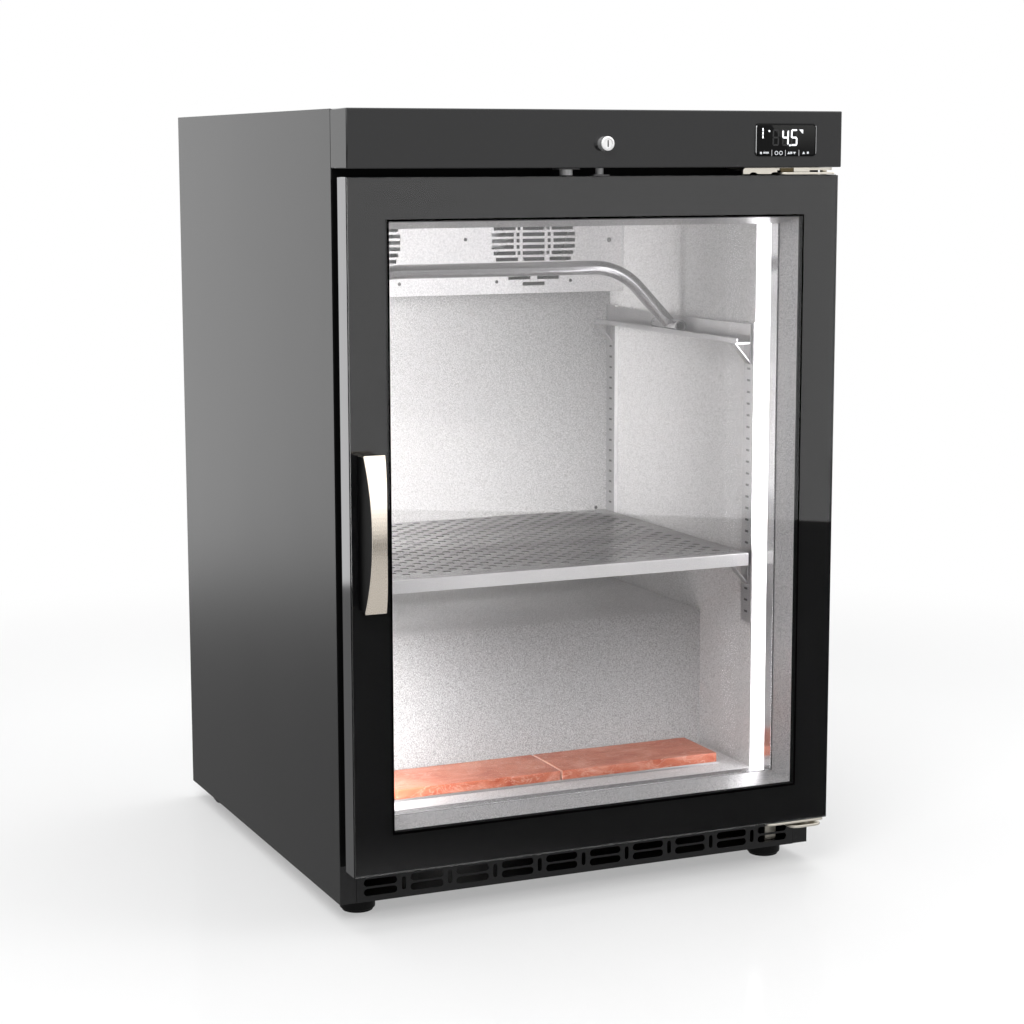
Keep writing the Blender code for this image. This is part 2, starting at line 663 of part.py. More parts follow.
def add_rear_cover():
    shape = bmesh.new()
    edge = INSIDE - GAP
    block(shape, (-edge, BAY_COVER_FRONT, PAN_TOP + GAP), (edge, BAY_COVER_REAR, UNDER + BAY_TOP - GAP))
    cover = make("rear_grille_cover", shape, "galvanised")
    slots = bmesh.new()
    for x, z in bay_grille_places():
        if abs(x - INLET_X) < BAY_GRILLE_SLOT and abs(z - INLET_Z - UNDER) < INLET_HEIGHT:
            continue
        block(slots, (x - BAY_GRILLE_SLOT / 2, BAY_COVER_FRONT - OVERRUN, z - BAY_GRILLE_SLOT_HEIGHT / 2),
              (x + BAY_GRILLE_SLOT / 2, BAY_COVER_REAR + OVERRUN, z + BAY_GRILLE_SLOT_HEIGHT / 2))
    block(slots, (INLET_X - INLET_WIDTH / 2 - GAP, BAY_COVER_FRONT - OVERRUN,
                  UNDER + INLET_Z - INLET_HEIGHT / 2 - GAP),
          (INLET_X + INLET_WIDTH / 2 + GAP, BAY_COVER_REAR + OVERRUN,
           UNDER + INLET_Z + INLET_HEIGHT / 2 + GAP))
    cut(cover, slots, "slots")


def add_inlet():
    middle = UNDER + INLET_Z
    rear = BAY_COVER_REAR + GAP
    shape = bmesh.new()
    block(shape, (INLET_X - INLET_WIDTH / 2, rear - INLET_DEPTH, middle - INLET_HEIGHT / 2),
          (INLET_X + INLET_WIDTH / 2, rear + WELD, middle + INLET_HEIGHT / 2))
    inlet = make("mains_inlet", shape, "black_plastic")
    flange = bmesh.new()
    half_w = INLET_WIDTH / 2 + INLET_LIP
    half_h = INLET_HEIGHT / 2 + INLET_LIP
    block(flange, (INLET_X - half_w, rear, middle - half_h), (INLET_X + half_w, rear + INLET_FLANGE, middle + half_h))
    join(inlet, flange, "flange")
    hollow = bmesh.new()
    half_w = INLET_WIDTH / 2 - INLET_WALL
    half_h = INLET_HEIGHT / 2 - INLET_WALL
    block(hollow, (INLET_X - half_w, rear - INLET_DEPTH + INLET_BOTTOM, middle - half_h),
          (INLET_X + half_w, rear + INLET_FLANGE + OVERRUN, middle + half_h))
    cut(inlet, hollow, "hollow")
    pins = bmesh.new()
    for step in (-1, 0, 1):
        x = INLET_X + step * INLET_PIN_SPACING
        block(pins, (x - INLET_PIN / 2, rear - INLET_DEPTH + INLET_BOTTOM - WELD, middle - INLET_PIN),
              (x + INLET_PIN / 2, rear - INLET_LIP, middle + INLET_PIN))
    join(inlet, pins, "pins")


def add_base_pan():
    left, right = -INSIDE + GAP, INSIDE - GAP
    front, rear = BODY_FRONT + POST_DEPTH + GAP, BAY_COVER_FRONT - GAP
    shape = bmesh.new()
    block(shape, (left, front, UNDER + GAP), (right, rear, PAN_TOP + PAN_SIDE_FLANGE))
    pan = make("base_pan", shape, "galvanised")
    hollow = bmesh.new()
    block(hollow, (left + PAN_SHEET, front - OVERRUN, PAN_TOP),
          (right - PAN_SHEET, rear - PAN_SHEET, PAN_TOP + PAN_SIDE_FLANGE + OVERRUN))
    cut(pan, hollow, "hollow")
    lowered = bmesh.new()
    block(lowered, (left - OVERRUN, rear - PAN_SHEET - WELD, PAN_TOP + PAN_REAR_FLANGE),
          (right + OVERRUN, rear + OVERRUN, PAN_TOP + PAN_SIDE_FLANGE + OVERRUN))
    cut(pan, lowered, "rear")
    holes = bmesh.new()
    for x, y in foot_places():
        rod(holes, (x, y, UNDER - OVERRUN), PAN_SHEET + 2 * OVERRUN, FOOT_STEM_RADIUS + RUN)
    cut(pan, holes, "holes")


def foot_places():
    for y in (FRONT + FOOT_FRONT_DEPTH, BODY_REAR - FOOT_REAR_INSET):
        for x in (-FOOT_SPREAD, FOOT_SPREAD):
            yield x, y


def add_feet():
    names = ("foot_front_left", "foot_front_right", "foot_rear_left", "foot_rear_right")
    top = UNDER - GAP
    for name, (x, y) in zip(names, foot_places()):
        shape = bmesh.new()
        lathe(shape, [
            (0, 0), (FOOT_SOLE_RADIUS, 0), (FOOT_RADIUS, FOOT_SOLE_HEIGHT), (FOOT_RADIUS, top),
            (FOOT_STEM_RADIUS, top), (FOOT_STEM_RADIUS, top + FOOT_STEM_LENGTH),
            (0, top + FOOT_STEM_LENGTH)], (x, y, 0), ROUND_SIDES)
        make(name, shape, "black_rubber", origin=(x, y, 0), smooth=True)


def liner_profile(wall, opening):
    # the side view of the room, grown outwards by the wall
    return [
        (opening, UNDER + ROOM_FLOOR - wall), (FRONT + STEP_FRONT + wall, UNDER + ROOM_FLOOR - wall),
        (FRONT + STEP_FRONT + wall, UNDER + STEP_TOP - wall), (FRONT + ROOM_BACK + wall, UNDER + STEP_TOP - wall),
        (FRONT + ROOM_BACK + wall, UNDER + RECESS_BOTTOM - wall),
        (FRONT + RECESS_BACK + wall, UNDER + RECESS_BOTTOM - wall),
        (FRONT + RECESS_BACK + wall, UNDER + ROOM_CEILING + wall), (opening, UNDER + ROOM_CEILING + wall)]


def line_hole(radius):
    shape = bmesh.new()
    z = UNDER + RECESS_BOTTOM + LINE_RISE
    rod(shape, (LINE_X, FRONT + RECESS_BACK - OVERRUN, z), LINER_SHEET + 2 * OVERRUN, radius, "Y")
    return shape


def add_liner():
    opening = BODY_FRONT + FRONT_FRAME_THICKNESS + GAP
    shape = bmesh.new()
    outer = ROOM_HALF_WIDTH + LINER_SHEET
    prism(shape, liner_profile(LINER_SHEET, opening), "X", -outer, outer)
    liner = make("inner_liner", shape, "embossed_liner")
    room = bmesh.new()
    prism(room, liner_profile(0, opening - OVERRUN), "X", -ROOM_HALF_WIDTH, ROOM_HALF_WIDTH)
    cut(liner, room, "room")
    cut(liner, line_hole(LINE_RADIUS + RUN), "line_hole")


def add_foam():
    opening = BODY_FRONT + FRONT_FRAME_THICKNESS + GAP
    rear = BACK_PANEL_FRONT - GAP
    top = BODY_TOP - CASING_SHEET - GAP
    shape = bmesh.new()
    prism(shape, [
        (opening, UNDER + AIR_PATH_TOP), (FRONT + BAY_FRONT, UNDER + AIR_PATH_TOP),
        (FRONT + BAY_FRONT, UNDER + BAY_TOP), (rear, UNDER + BAY_TOP), (rear, top), (opening, top)],
        "X", -INSIDE + GAP, INSIDE - GAP)
    foam = make("foam_body", shape, "foam")
    room = bmesh.new()
    wall = LINER_SHEET + GAP
    prism(room, liner_profile(wall, opening - OVERRUN), "X", -ROOM_HALF_WIDTH - wall, ROOM_HALF_WIDTH + wall)
    cut(foam, room, "room")
    channel = bmesh.new()
    half = LINE_CHANNEL / 2
    z = UNDER + RECESS_BOTTOM + LINE_RISE
    block(channel, (LINE_X - half, FRONT + RECESS_BACK, z - half), (LINE_X + half, rear + OVERRUN, z + half))
    cut(foam, channel, "channel_back")
    drop = bmesh.new()
    block(drop, (LINE_X - half, rear - LINE_CHANNEL, UNDER + BAY_TOP - OVERRUN),
          (LINE_X + half, rear + OVERRUN, z + half - WELD))
    cut(foam, drop, "channel_down")


def add_front_frame():
    shape = bmesh.new()
    edge = INSIDE - GAP
    side = edge - ROOM_HALF_WIDTH
    front, rear = BODY_FRONT, BODY_FRONT + FRONT_FRAME_THICKNESS
    low, high = UNDER + AIR_PATH_TOP, BODY_TOP - CASING_SHEET - GAP
    block(shape, (-edge, front, low), (edge, rear, high))
    frame = make("front_frame", shape, "black_plastic")
    mouth = bmesh.new()
    block(mouth, (-edge + side, front - OVERRUN, UNDER + ROOM_FLOOR),
          (edge - side, rear + OVERRUN, UNDER + ROOM_CEILING))
    cut(frame, mouth, "mouth")


def add_plinth():
    reach = HALF - POST_WIDTH - GAP
    front, rear = BODY_FRONT, BODY_FRONT + PLINTH_SHEET
    shape = bmesh.new()
    block(shape, (-reach, front, UNDER), (reach, rear, UNDER + AIR_PATH_TOP - GAP))
    plinth = make("plinth_grille", shape, "black_paint")
    slots = bmesh.new()
    first = -PLINTH_GROUP_PITCH * (PLINTH_GROUPS - 1) / 2
    for group in range(PLINTH_GROUPS):
        x = first + group * PLINTH_GROUP_PITCH
        for side in (-1, 1):
            z = UNDER + PLINTH_SLOT_CENTRE + side * PLINTH_SLOT_SPACING / 2
            prism(slots, slot_outline(x, z, PLINTH_SLOT_LENGTH, PLINTH_SLOT_HEIGHT), "Y",
                  front - OVERRUN, rear + OVERRUN)
        if group:
            prism(slots, slot_outline(x - PLINTH_GROUP_PITCH / 2, UNDER + PLINTH_SLOT_CENTRE,
                                      PLINTH_BAR_WIDTH, PLINTH_BAR_HEIGHT), "Y",
                  front - OVERRUN, rear + OVERRUN)
    cut(plinth, slots, "slots")
    corner = bmesh.new()
    block(corner, (LOW_BRACKET_LEFT - GAP, front - OVERRUN, UNDER + LOW_BRACKET_BOTTOM - GAP),
          (reach + OVERRUN, rear + OVERRUN, UNDER + AIR_PATH_TOP + OVERRUN))
    cut(plinth, corner, "corner")


def add_header():
    rear = BODY_FRONT - GAP
    shape = bmesh.new()
    block(shape, (-HALF, FRONT, HEADER_BOTTOM), (HALF, rear, BODY_TOP))
    header = make("header_panel", shape, "black_paint")
    bevel = header.modifiers.new("edges", "BEVEL")
    bevel.width = HEADER_EDGE
    bevel.segments = 2
    bevel.limit_method = "ANGLE"
    hollow = bmesh.new()
    block(hollow, (-HALF + HEADER_SHEET, FRONT + HEADER_SHEET, HEADER_BOTTOM + HEADER_SHEET),
          (HALF - HEADER_SHEET, rear + OVERRUN, BODY_TOP - HEADER_SHEET))
    cut(header, hollow, "hollow")
    holes = bmesh.new()
    deep = HEADER_SHEET + 2 * OVERRUN
    rod(holes, (LOCK_X, FRONT - OVERRUN, LOCK_Z), deep, LOCK_RADIUS + GAP, "Y")
    x, z = CONTROL_CENTRE_X, BODY_TOP - CONTROL_DROP
    half_w = CONTROL_WIDTH / 2 - CONTROL_BODY_INSET + GAP
    half_h = CONTROL_HEIGHT / 2 - CONTROL_BODY_INSET + GAP
    block(holes, (x - half_w, FRONT - OVERRUN, z - half_h), (x + half_w, FRONT + HEADER_SHEET + OVERRUN, z + half_h))
    rod(holes, (SWITCH_X, FRONT + SWITCH_DEPTH, HEADER_BOTTOM - OVERRUN), deep, SWITCH_BARREL_RADIUS + GAP)
    rod(holes, (BOLT_X, BOLT_Y, HEADER_BOTTOM - OVERRUN), deep, BOLT_RADIUS + GAP)
    cut(header, holes, "holes")


def add_controller():
    x, z = CONTROL_CENTRE_X, BODY_TOP - CONTROL_DROP
    face = FRONT - CONTROL_PROUD
    shape = bmesh.new()
    prism(shape, rounded(x - CONTROL_WIDTH / 2, x + CONTROL_WIDTH / 2, z - CONTROL_HEIGHT / 2,
                         z + CONTROL_HEIGHT / 2, CONTROL_CORNER), "Y", face, FRONT - GAP)
    case = make("controller_case", shape, "chrome")
    rear = bmesh.new()
    half_w = CONTROL_WIDTH / 2 - CONTROL_BODY_INSET
    half_h = CONTROL_HEIGHT / 2 - CONTROL_BODY_INSET
    block(rear, (x - half_w, FRONT - GAP - WELD, z - half_h), (x + half_w, FRONT + CONTROL_BODY_DEPTH, z + half_h))
    join(case, rear, "rear")
    seat = bmesh.new()
    outline = lens_outline(0)
    prism(seat, outline, "Y", face - OVERRUN, face + CONTROL_LENS_THICKNESS)
    cut(case, seat, "seat")
    lens = bmesh.new()
    prism(lens, lens_outline(GAP), "Y", face - GAP, face + CONTROL_LENS_THICKNESS - GAP)
    make("controller_lens", lens, "screen")


def lens_outline(margin):
    x, z = CONTROL_CENTRE_X, BODY_TOP - CONTROL_DROP
    half_w = CONTROL_WIDTH / 2 - CONTROL_RIM - margin
    half_h = CONTROL_HEIGHT / 2 - CONTROL_RIM - margin
    return rounded(x - half_w, x + half_w, z - half_h, z + half_h, CONTROL_CORNER - CONTROL_RIM)


def add_lock():
    shape = bmesh.new()
    rod(shape, (LOCK_X, FRONT - LOCK_PROUD, LOCK_Z), LOCK_PROUD + LOCK_REACH, LOCK_RADIUS, "Y")
    housing = make("lock_housing", shape, "chrome", smooth=True)
    bore = bmesh.new()
    rod(bore, (LOCK_X, FRONT - LOCK_PROUD - OVERRUN, LOCK_Z),
        LOCK_PROUD + LOCK_REACH + 2 * OVERRUN, LOCK_PLUG_RADIUS + GAP, "Y")
    cut(housing, bore, "bore")
    plug = bmesh.new()
    lathe(plug, [
        (0, -LOCK_PROUD + LOCK_PLUG_STEP), (LOCK_PLUG_RADIUS, -LOCK_PROUD + LOCK_PLUG_STEP),
        (LOCK_PLUG_RADIUS, LOCK_REACH + GAP), (LOCK_TRAVEL / (math.pi / 2), LOCK_REACH + GAP),
        (LOCK_TRAVEL / (math.pi / 2), LOCK_REACH + GAP + LOCK_PINION_THICKNESS),
        (0, LOCK_REACH + GAP + LOCK_PINION_THICKNESS)], (LOCK_X, FRONT, LOCK_Z), ROUND_SIDES, "Y")
    cylinder = make("lock_cylinder", plug, "chrome", origin=(LOCK_X, FRONT, LOCK_Z), smooth=True)
    key = bmesh.new()
    block(key, (LOCK_X - KEY_SLOT_WIDTH / 2, FRONT - LOCK_PROUD - OVERRUN, LOCK_Z - KEY_SLOT_HEIGHT / 2),
          (LOCK_X + KEY_SLOT_WIDTH / 2, FRONT - LOCK_PROUD + KEY_SLOT_DEPTH, LOCK_Z + KEY_SLOT_HEIGHT / 2))
    cut(cylinder, key, "key_slot")


def add_lock_bolt():
    bottom = STRIKE_TOP + BOLT_CLEAR
    shape = bmesh.new()
    rod(shape, (BOLT_X, BOLT_Y, bottom), BOLT_SHANK, BOLT_RADIUS)
    bolt = make("lock_bolt", shape, "chrome", origin=(BOLT_X, BOLT_Y, bottom), smooth=True)
    rack = bmesh.new()
    half_y = LOCK_PINION_THICKNESS / 2 - GAP
    block(rack, (BOLT_X - BOLT_RACK_WIDTH / 2, BOLT_Y - half_y / 2, bottom + BOLT_SHANK - WELD),
          (BOLT_X + BOLT_RACK_WIDTH / 2, BOLT_Y + half_y / 2, bottom + BOLT_SHANK + BOLT_RACK_HEIGHT))
    join(bolt, rack, "rack")


def add_switch():
    y = FRONT + SWITCH_DEPTH
    top = HEADER_BOTTOM - GAP
    shape = bmesh.new()
    block(shape, (SWITCH_X - SWITCH_FLANGE_WIDTH / 2, y - SWITCH_FLANGE_DEPTH / 2, top - SWITCH_FLANGE_THICKNESS),
          (SWITCH_X + SWITCH_FLANGE_WIDTH / 2, y + SWITCH_FLANGE_DEPTH / 2, top))
    body = make("door_switch_body", shape, "black_plastic")
    barrel = bmesh.new()
    rod(barrel, (SWITCH_X, y, top - WELD), SWITCH_BARREL_HEIGHT, SWITCH_BARREL_RADIUS)
    join(body, barrel, "barrel")
    bore = bmesh.new()
    low = top - SWITCH_FLANGE_THICKNESS
    rod(bore, (SWITCH_X, y, low - OVERRUN), SWITCH_BORE_DEPTH + OVERRUN, SWITCH_PLUNGER_RADIUS + GAP)
    cut(body, bore, "bore")
    plunger = bmesh.new()
    tip = UNDER + DOOR_TOP + SWITCH_CLEAR
    rod(plunger, (SWITCH_X, y, tip), SWITCH_PLUNGER_LENGTH, SWITCH_PLUNGER_RADIUS)
    make("door_switch_plunger", plunger, "chrome", origin=(SWITCH_X, y, tip), smooth=True)


def add_top_bracket():
    top = HEADER_BOTTOM - GAP
    low = top - TOP_BRACKET_THICKNESS
    front = FRONT + BRACKET_FRONT
    shape = bmesh.new()
    prism(shape, rounded(TOP_BRACKET_LEFT + TOP_LIP_CORNER, BRACKET_RIGHT, front + WELD, BODY_FRONT - GAP,
                         PLATE_CORNER), "Z", low, top)
    bracket = make("hinge_bracket_top", shape, "zinc")
    lip = bmesh.new()
    lip_low = UNDER + DOOR_TOP + TOP_LIP_CLEAR
    lip_top = top - WELD
    lip_right = TOP_BRACKET_LEFT + TOP_LIP_LENGTH
    prism(lip, [(TOP_BRACKET_LEFT, lip_low), (lip_right, lip_low), (lip_right, lip_top),
                (TOP_BRACKET_LEFT + TOP_LIP_CORNER, lip_top), (TOP_BRACKET_LEFT, lip_top - TOP_LIP_CORNER)],
          "Y", front, front + TOP_BRACKET_THICKNESS)
    join(bracket, lip, "lip")
    pin = bmesh.new()
    rod(pin, (PIVOT_X, PIVOT_Y, low - PIN_LENGTH), PIN_LENGTH + WELD, PIN_RADIUS)
    join(bracket, pin, "pin")
    notches = bmesh.new()
    for step in (0, 1):
        x = TOP_BRACKET_LEFT + BRACKET_NOTCH_FIRST + step * BRACKET_NOTCH_PITCH
        z = lip_low + BRACKET_NOTCH_RISE - BRACKET_NOTCH_RADIUS
        rod(notches, (x, front - OVERRUN, z), TOP_BRACKET_THICKNESS + 2 * OVERRUN, BRACKET_NOTCH_RADIUS, "Y")
    cut(bracket, notches, "notches")


def add_bottom_bracket():
    low = UNDER + LOW_BRACKET_BOTTOM
    top = low + LOW_BRACKET_THICKNESS
    shape = bmesh.new()
    prism(shape, rounded(LOW_BRACKET_LEFT, BRACKET_RIGHT, FRONT, FRONT + LOW_BRACKET_TAIL, LOW_BRACKET_CORNER),
          "Z", low, top)
    bracket = make("hinge_bracket_bottom", shape, "zinc")
    pin = bmesh.new()
    rod(pin, (PIVOT_X, PIVOT_Y, top - WELD), pin_length_low() + WELD, PIN_RADIUS)
    join(bracket, pin, "pin")
    leg = bmesh.new()
    rear = FRONT + LOW_BRACKET_TAIL - LOW_BRACKET_THICKNESS
    left = LOW_BRACKET_LEFT + LOW_BRACKET_LEG_INSET
    block(leg, (left, rear - LOW_BRACKET_THICKNESS, PAN_TOP + GAP),
          (left + LOW_BRACKET_LEG_WIDTH, rear, low + WELD))
    join(bracket, leg, "leg")


def pin_length_low():
    return DOOR_BOTTOM - LOW_BRACKET_BOTTOM - LOW_BRACKET_THICKNESS + PIN_LENGTH - TOP_BRACKET_THICKNESS


def pin_socket(shape, start, length):
    rod(shape, (PIVOT_X, PIVOT_Y, start), length, PIN_RADIUS + RUN)


def door_plate(name, length, low, high, pivot):
    right = DOOR_RIGHT - DOOR_PLATE_RIGHT_INSET
    shape = bmesh.new()
    prism(shape, rounded(right - length, right, FRONT + DOOR_PLATE_FRONT, FRONT + DOOR_PLATE_REAR,
                         PLATE_CORNER), "Z", low, high)
    plate = make(name, shape, "zinc", origin=pivot.location)
    hole = bmesh.new()
    pin_socket(hole, low - OVERRUN, high - low + 2 * OVERRUN)
    cut(plate, hole, "pin_hole")
    hang(plate, pivot)


def add_door_frame(pivot):
    shape = bmesh.new()
    front, rear = FRONT + FRONT_PANE + GAP, FRONT + DOOR_DEPTH
    mitred_frame(shape, DOOR_LEFT, DOOR_RIGHT, UNDER + DOOR_BOTTOM, UNDER + DOOR_TOP, [
        (0, front), (DOOR_BORDER, front), (DOOR_BORDER, rear), (0, rear)])
    frame = make("door_frame", shape, "black_paint", origin=pivot.location)
    holes = bmesh.new()
    pin_socket(holes, UNDER + DOOR_TOP - PIN_SOCKET, PIN_SOCKET + OVERRUN)
    pin_socket(holes, UNDER + DOOR_BOTTOM - OVERRUN, PIN_SOCKET + OVERRUN)
    rod(holes, (BOLT_X, BOLT_Y, UNDER + DOOR_TOP - LOCK_TRAVEL - OVERRUN), LOCK_TRAVEL + 2 * OVERRUN,
        BOLT_RADIUS + RUN)
    cut(frame, holes, "holes")
    hang(frame, pivot)


def add_inner_frame(pivot):
    shape = bmesh.new()
    step = SPACER_STEP
    groove = SPACER_STEP - PANE_GROOVE
    seat, seat_end = FRONT + REAR_PANE_DEPTH - GAP, FRONT + REAR_PANE_DEPTH + REAR_PANE + GAP
    mitred_frame(shape, DOOR_LEFT + DOOR_BORDER, DOOR_RIGHT - DOOR_BORDER,
                 UNDER + DOOR_BOTTOM + DOOR_BORDER, UNDER + DOOR_TOP - DOOR_BORDER, [
        (GAP, FRONT + FRONT_PANE + GAP), (step, seat), (groove, seat), (groove, seat_end), (step, seat_end),
        (step, FRONT + DOOR_DAM_DEPTH), (DAM_OUTER_INSET, FRONT + DOOR_DAM_DEPTH),
        (DAM_OUTER_INSET, FRONT + DAM_HEEL_DEPTH), (GAP, FRONT + DOOR_DEPTH)])
    frame = make("door_inner_frame", shape, "silver_frame", origin=pivot.location)
    hang(frame, pivot)


def pane(name, inset, front, thickness, pivot):
    shape = bmesh.new()
    block(shape, (DOOR_LEFT + inset, front, UNDER + DOOR_BOTTOM + inset),
          (DOOR_RIGHT - inset, front + thickness, UNDER + DOOR_TOP - inset))
    hang(make(name, shape, "glass", origin=pivot.location), pivot)


def add_gasket(pivot):
    shape = bmesh.new()
    near, far = FRONT + DOOR_DEPTH + GAP, BODY_FRONT - GASKET_SQUEEZE
    middle = (near + far) / 2
    mitred_frame(shape, DOOR_LEFT, DOOR_RIGHT, UNDER + DOOR_BOTTOM, UNDER + DOOR_TOP, [
        (GASKET_INSET, near), (GASKET_INSET + GASKET_WIDTH, near),
        (GASKET_INSET + GASKET_WIDTH - GASKET_LIP, middle), (GASKET_INSET + GASKET_WIDTH, far),
        (GASKET_INSET, far), (GASKET_INSET + GASKET_LIP, middle)])
    hang(make("door_gasket", shape, "black_rubber", origin=pivot.location), pivot)


def handle_curve(inset):
    # front line of the handle's side view, drawn in by the inset; a flat arc through three points
    proud_end, proud_middle = HANDLE_END_PROUD - inset, HANDLE_PROUD - inset
    rise = proud_middle - proud_end
    chord = HANDLE_LENGTH - 2 * inset
    radius = (chord * chord / 4 + rise * rise) / (2 * rise)
    half_angle = math.asin(chord / 2 / radius)
    centre_z = UNDER + HANDLE_BOTTOM + HANDLE_LENGTH / 2
    points = []
    for step in range(HANDLE_STEPS + 1):
        angle = half_angle * (2 * step / HANDLE_STEPS - 1)
        y = FRONT - proud_middle + radius - radius * math.cos(angle)
        points.append((y, centre_z + radius * math.sin(angle)))
    return points


def add_handle(pivot):
    left, right = HANDLE_LEFT, HANDLE_LEFT + HANDLE_WIDTH
    base = FRONT - GAP
    outer = handle_curve(HANDLE_COVER_SHEET + GAP)
    shape = bmesh.new()
    prism(shape, [(base, outer[0][1])] + outer + [(base, outer[-1][1])], "X", left, right)
    body = make("handle_body", shape, "black_plastic", origin=pivot.location)
    inner = handle_curve(HANDLE_COVER_SHEET + GAP + HANDLE_WALL)
    recess = bmesh.new()
    floor = base - HANDLE_WALL
    prism(recess, [(floor, inner[0][1])] + inner + [(floor, inner[-1][1])], "X",
          left + HANDLE_WALL, right + OVERRUN)
    cut(body, recess, "finger_recess")
    waist = bmesh.new()
    add_waist(waist)
    cut(body, waist, "waist")
    hang(body, pivot)
    cover_outer = handle_curve(0)
    cover_inner = handle_curve(HANDLE_COVER_SHEET)
    shape = bmesh.new()
    prism(shape, cover_outer + cover_inner[::-1], "X", left, right)
    cover = make("handle_cover", shape, "chrome", origin=pivot.location)
    waist = bmesh.new()
    add_waist(waist)
    cut(cover, waist, "waist")
    hang(cover, pivot)


def add_waist(shape):
    # takes the free edge in towards the middle of the handle's length
    right = HANDLE_LEFT + HANDLE_WIDTH
    narrowing = HANDLE_WIDTH - HANDLE_WAIST
    low, length = UNDER + HANDLE_BOTTOM, HANDLE_LENGTH
    edge = []
    for step in range(HANDLE_STEPS + 1):
        share = step / HANDLE_STEPS
        edge.append((right - narrowing * math.sin(math.pi * share), low + length * share))
    prism(shape, [(right + OVERRUN, low - OVERRUN)] + edge + [(right + OVERRUN, low + length + OVERRUN)],
          "Y", FRONT - HANDLE_PROUD - OVERRUN, FRONT - HANDLE_WALL - GAP)


def add_strike(pivot):
    shape = bmesh.new()
    low = UNDER + DOOR_TOP + GAP
    block(shape, (BOLT_X - STRIKE_WIDTH / 2, BOLT_Y - STRIKE_DEPTH / 2, low),
          (BOLT_X + STRIKE_WIDTH / 2, BOLT_Y + STRIKE_DEPTH / 2, low + STRIKE_THICKNESS))
    plate = make("strike_plate", shape, "brushed_steel", origin=pivot.location)
    hole = bmesh.new()
    rod(hole, (BOLT_X, BOLT_Y, low - OVERRUN), STRIKE_THICKNESS + 2 * OVERRUN, BOLT_RADIUS + RUN)
    cut(plate, hole, "hole")
    hang(plate, pivot)


def add_door():
    pivot = add_pivot("door_pivot", (PIVOT_X, PIVOT_Y, UNDER + DOOR_BOTTOM))
    add_door_frame(pivot)
    add_inner_frame(pivot)
    pane("glass_front", PANE_INSET, FRONT, FRONT_PANE, pivot)
    pane("glass_rear", DOOR_BORDER + SPACER_STEP - PANE_GROOVE + GAP, FRONT + REAR_PANE_DEPTH, REAR_PANE, pivot)
    add_gasket(pivot)
    add_handle(pivot)
    add_strike(pivot)
    top = UNDER + DOOR_TOP + GAP
    door_plate("door_plate_top", TOP_PLATE_LENGTH, top, top + DOOR_PLATE_THICKNESS, pivot)
    bottom = UNDER + DOOR_BOTTOM - GAP
    door_plate("door_plate_bottom", LOW_PLATE_LENGTH, bottom - DOOR_PLATE_THICKNESS, bottom, pivot)


def grille_slots(shape, centre):
    front, rear = FRONT + COVER_FRONT - OVERRUN, FRONT + COVER_FRONT + COVER_SHEET + OVERRUN
    half_slot = GRILLE_SLOT_LENGTH / 2
    half_height = GRILLE_SLOT_HEIGHT / 2
    last = len(GRILLE_ROW_SHARES)
    for row in range(-last - 1, last + 2):
        z = UNDER + GRILLE_Z + row * GRILLE_ROW_PITCH
        if z + half_height > UNDER + ROOM_CEILING - GRILLE_SLOT_HEIGHT:
            continue
        if abs(row) > last:
            spans = [(-half_slot, half_slot)]
        elif abs(row) == last:
            inner = GRILLE_LOW_SLOT_GAP / 2
            spans = [(-inner - GRILLE_SLOT_LENGTH, -inner), (inner, inner + GRILLE_SLOT_LENGTH)]
        else:
            reach = GRILLE_HALF_WIDTH * GRILLE_ROW_SHARES[abs(row)]
            gap_end = max(reach - GRILLE_SLOT_LENGTH, half_slot + half_height)
            spans = [(-reach, -gap_end), (-half_slot, half_slot), (gap_end, reach)]
        for left, right in spans:
            block(shape, (centre + left, front, z - half_height), (centre + right, rear, z + half_height))


def add_evaporator_cover():
    y0 = FRONT + COVER_FRONT
    y1 = y0 + COVER_SHEET
    y2 = FRONT + ROOM_BACK - GAP
    z0 = UNDER + COVER_BOTTOM
    top = UNDER + ROOM_CEILING - GAP
    shape = bmesh.new()
    edge = ROOM_HALF_WIDTH - GAP
    prism(shape, [(y0, z0), (y2, z0), (y2, z0 + COVER_SHEET), (y1, z0 + COVER_SHEET), (y1, top), (y0, top)],
          "X", -edge, edge)
    cover = make("evaporator_cover", shape, "brushed_steel")
    slots = bmesh.new()
    for side in (-1, 1):
        grille_slots(slots, side * GRILLE_X)
    cut(cover, slots, "grilles")


def add_fan(name, x, y, z, radius, hub_radius, hub_length, chord, look):
    shape = bmesh.new()
    rod(shape, (x, y, z), hub_length, hub_radius, "Y")
    fan = make(name, shape, look, origin=(x, y, z), smooth=True)
    blades = bmesh.new()
    middle = y + hub_length / 2
    for blade in range(FAN_BLADE_COUNT):
        around = Matrix.Rotation(2 * math.pi * blade / FAN_BLADE_COUNT, 4, "Y")
        plate = bmesh.new()
        block(plate, (hub_radius * math.cos(math.pi / ROUND_SIDES) - OVERRUN, -FAN_BLADE_THICKNESS / 2, -chord / 2),
              (radius, FAN_BLADE_THICKNESS / 2, chord / 2))
        bmesh.ops.transform(plate, matrix=Matrix.Translation((x, middle, z)) @ around
                            @ Matrix.Rotation(FAN_BLADE_PITCH, 4, "X"), verts=plate.verts)
        spare = bpy.data.meshes.new("blade")
        plate.to_mesh(spare)
        plate.free()
        blades.from_mesh(spare)
        bpy.data.meshes.remove(spare)
    join(fan, blades, "blades")


def fan_front():
    return FRONT + COVER_FRONT + COVER_SHEET + FAN_CLEARANCE


def carrier_front():
    return fan_front() + FAN_HUB_LENGTH + GAP


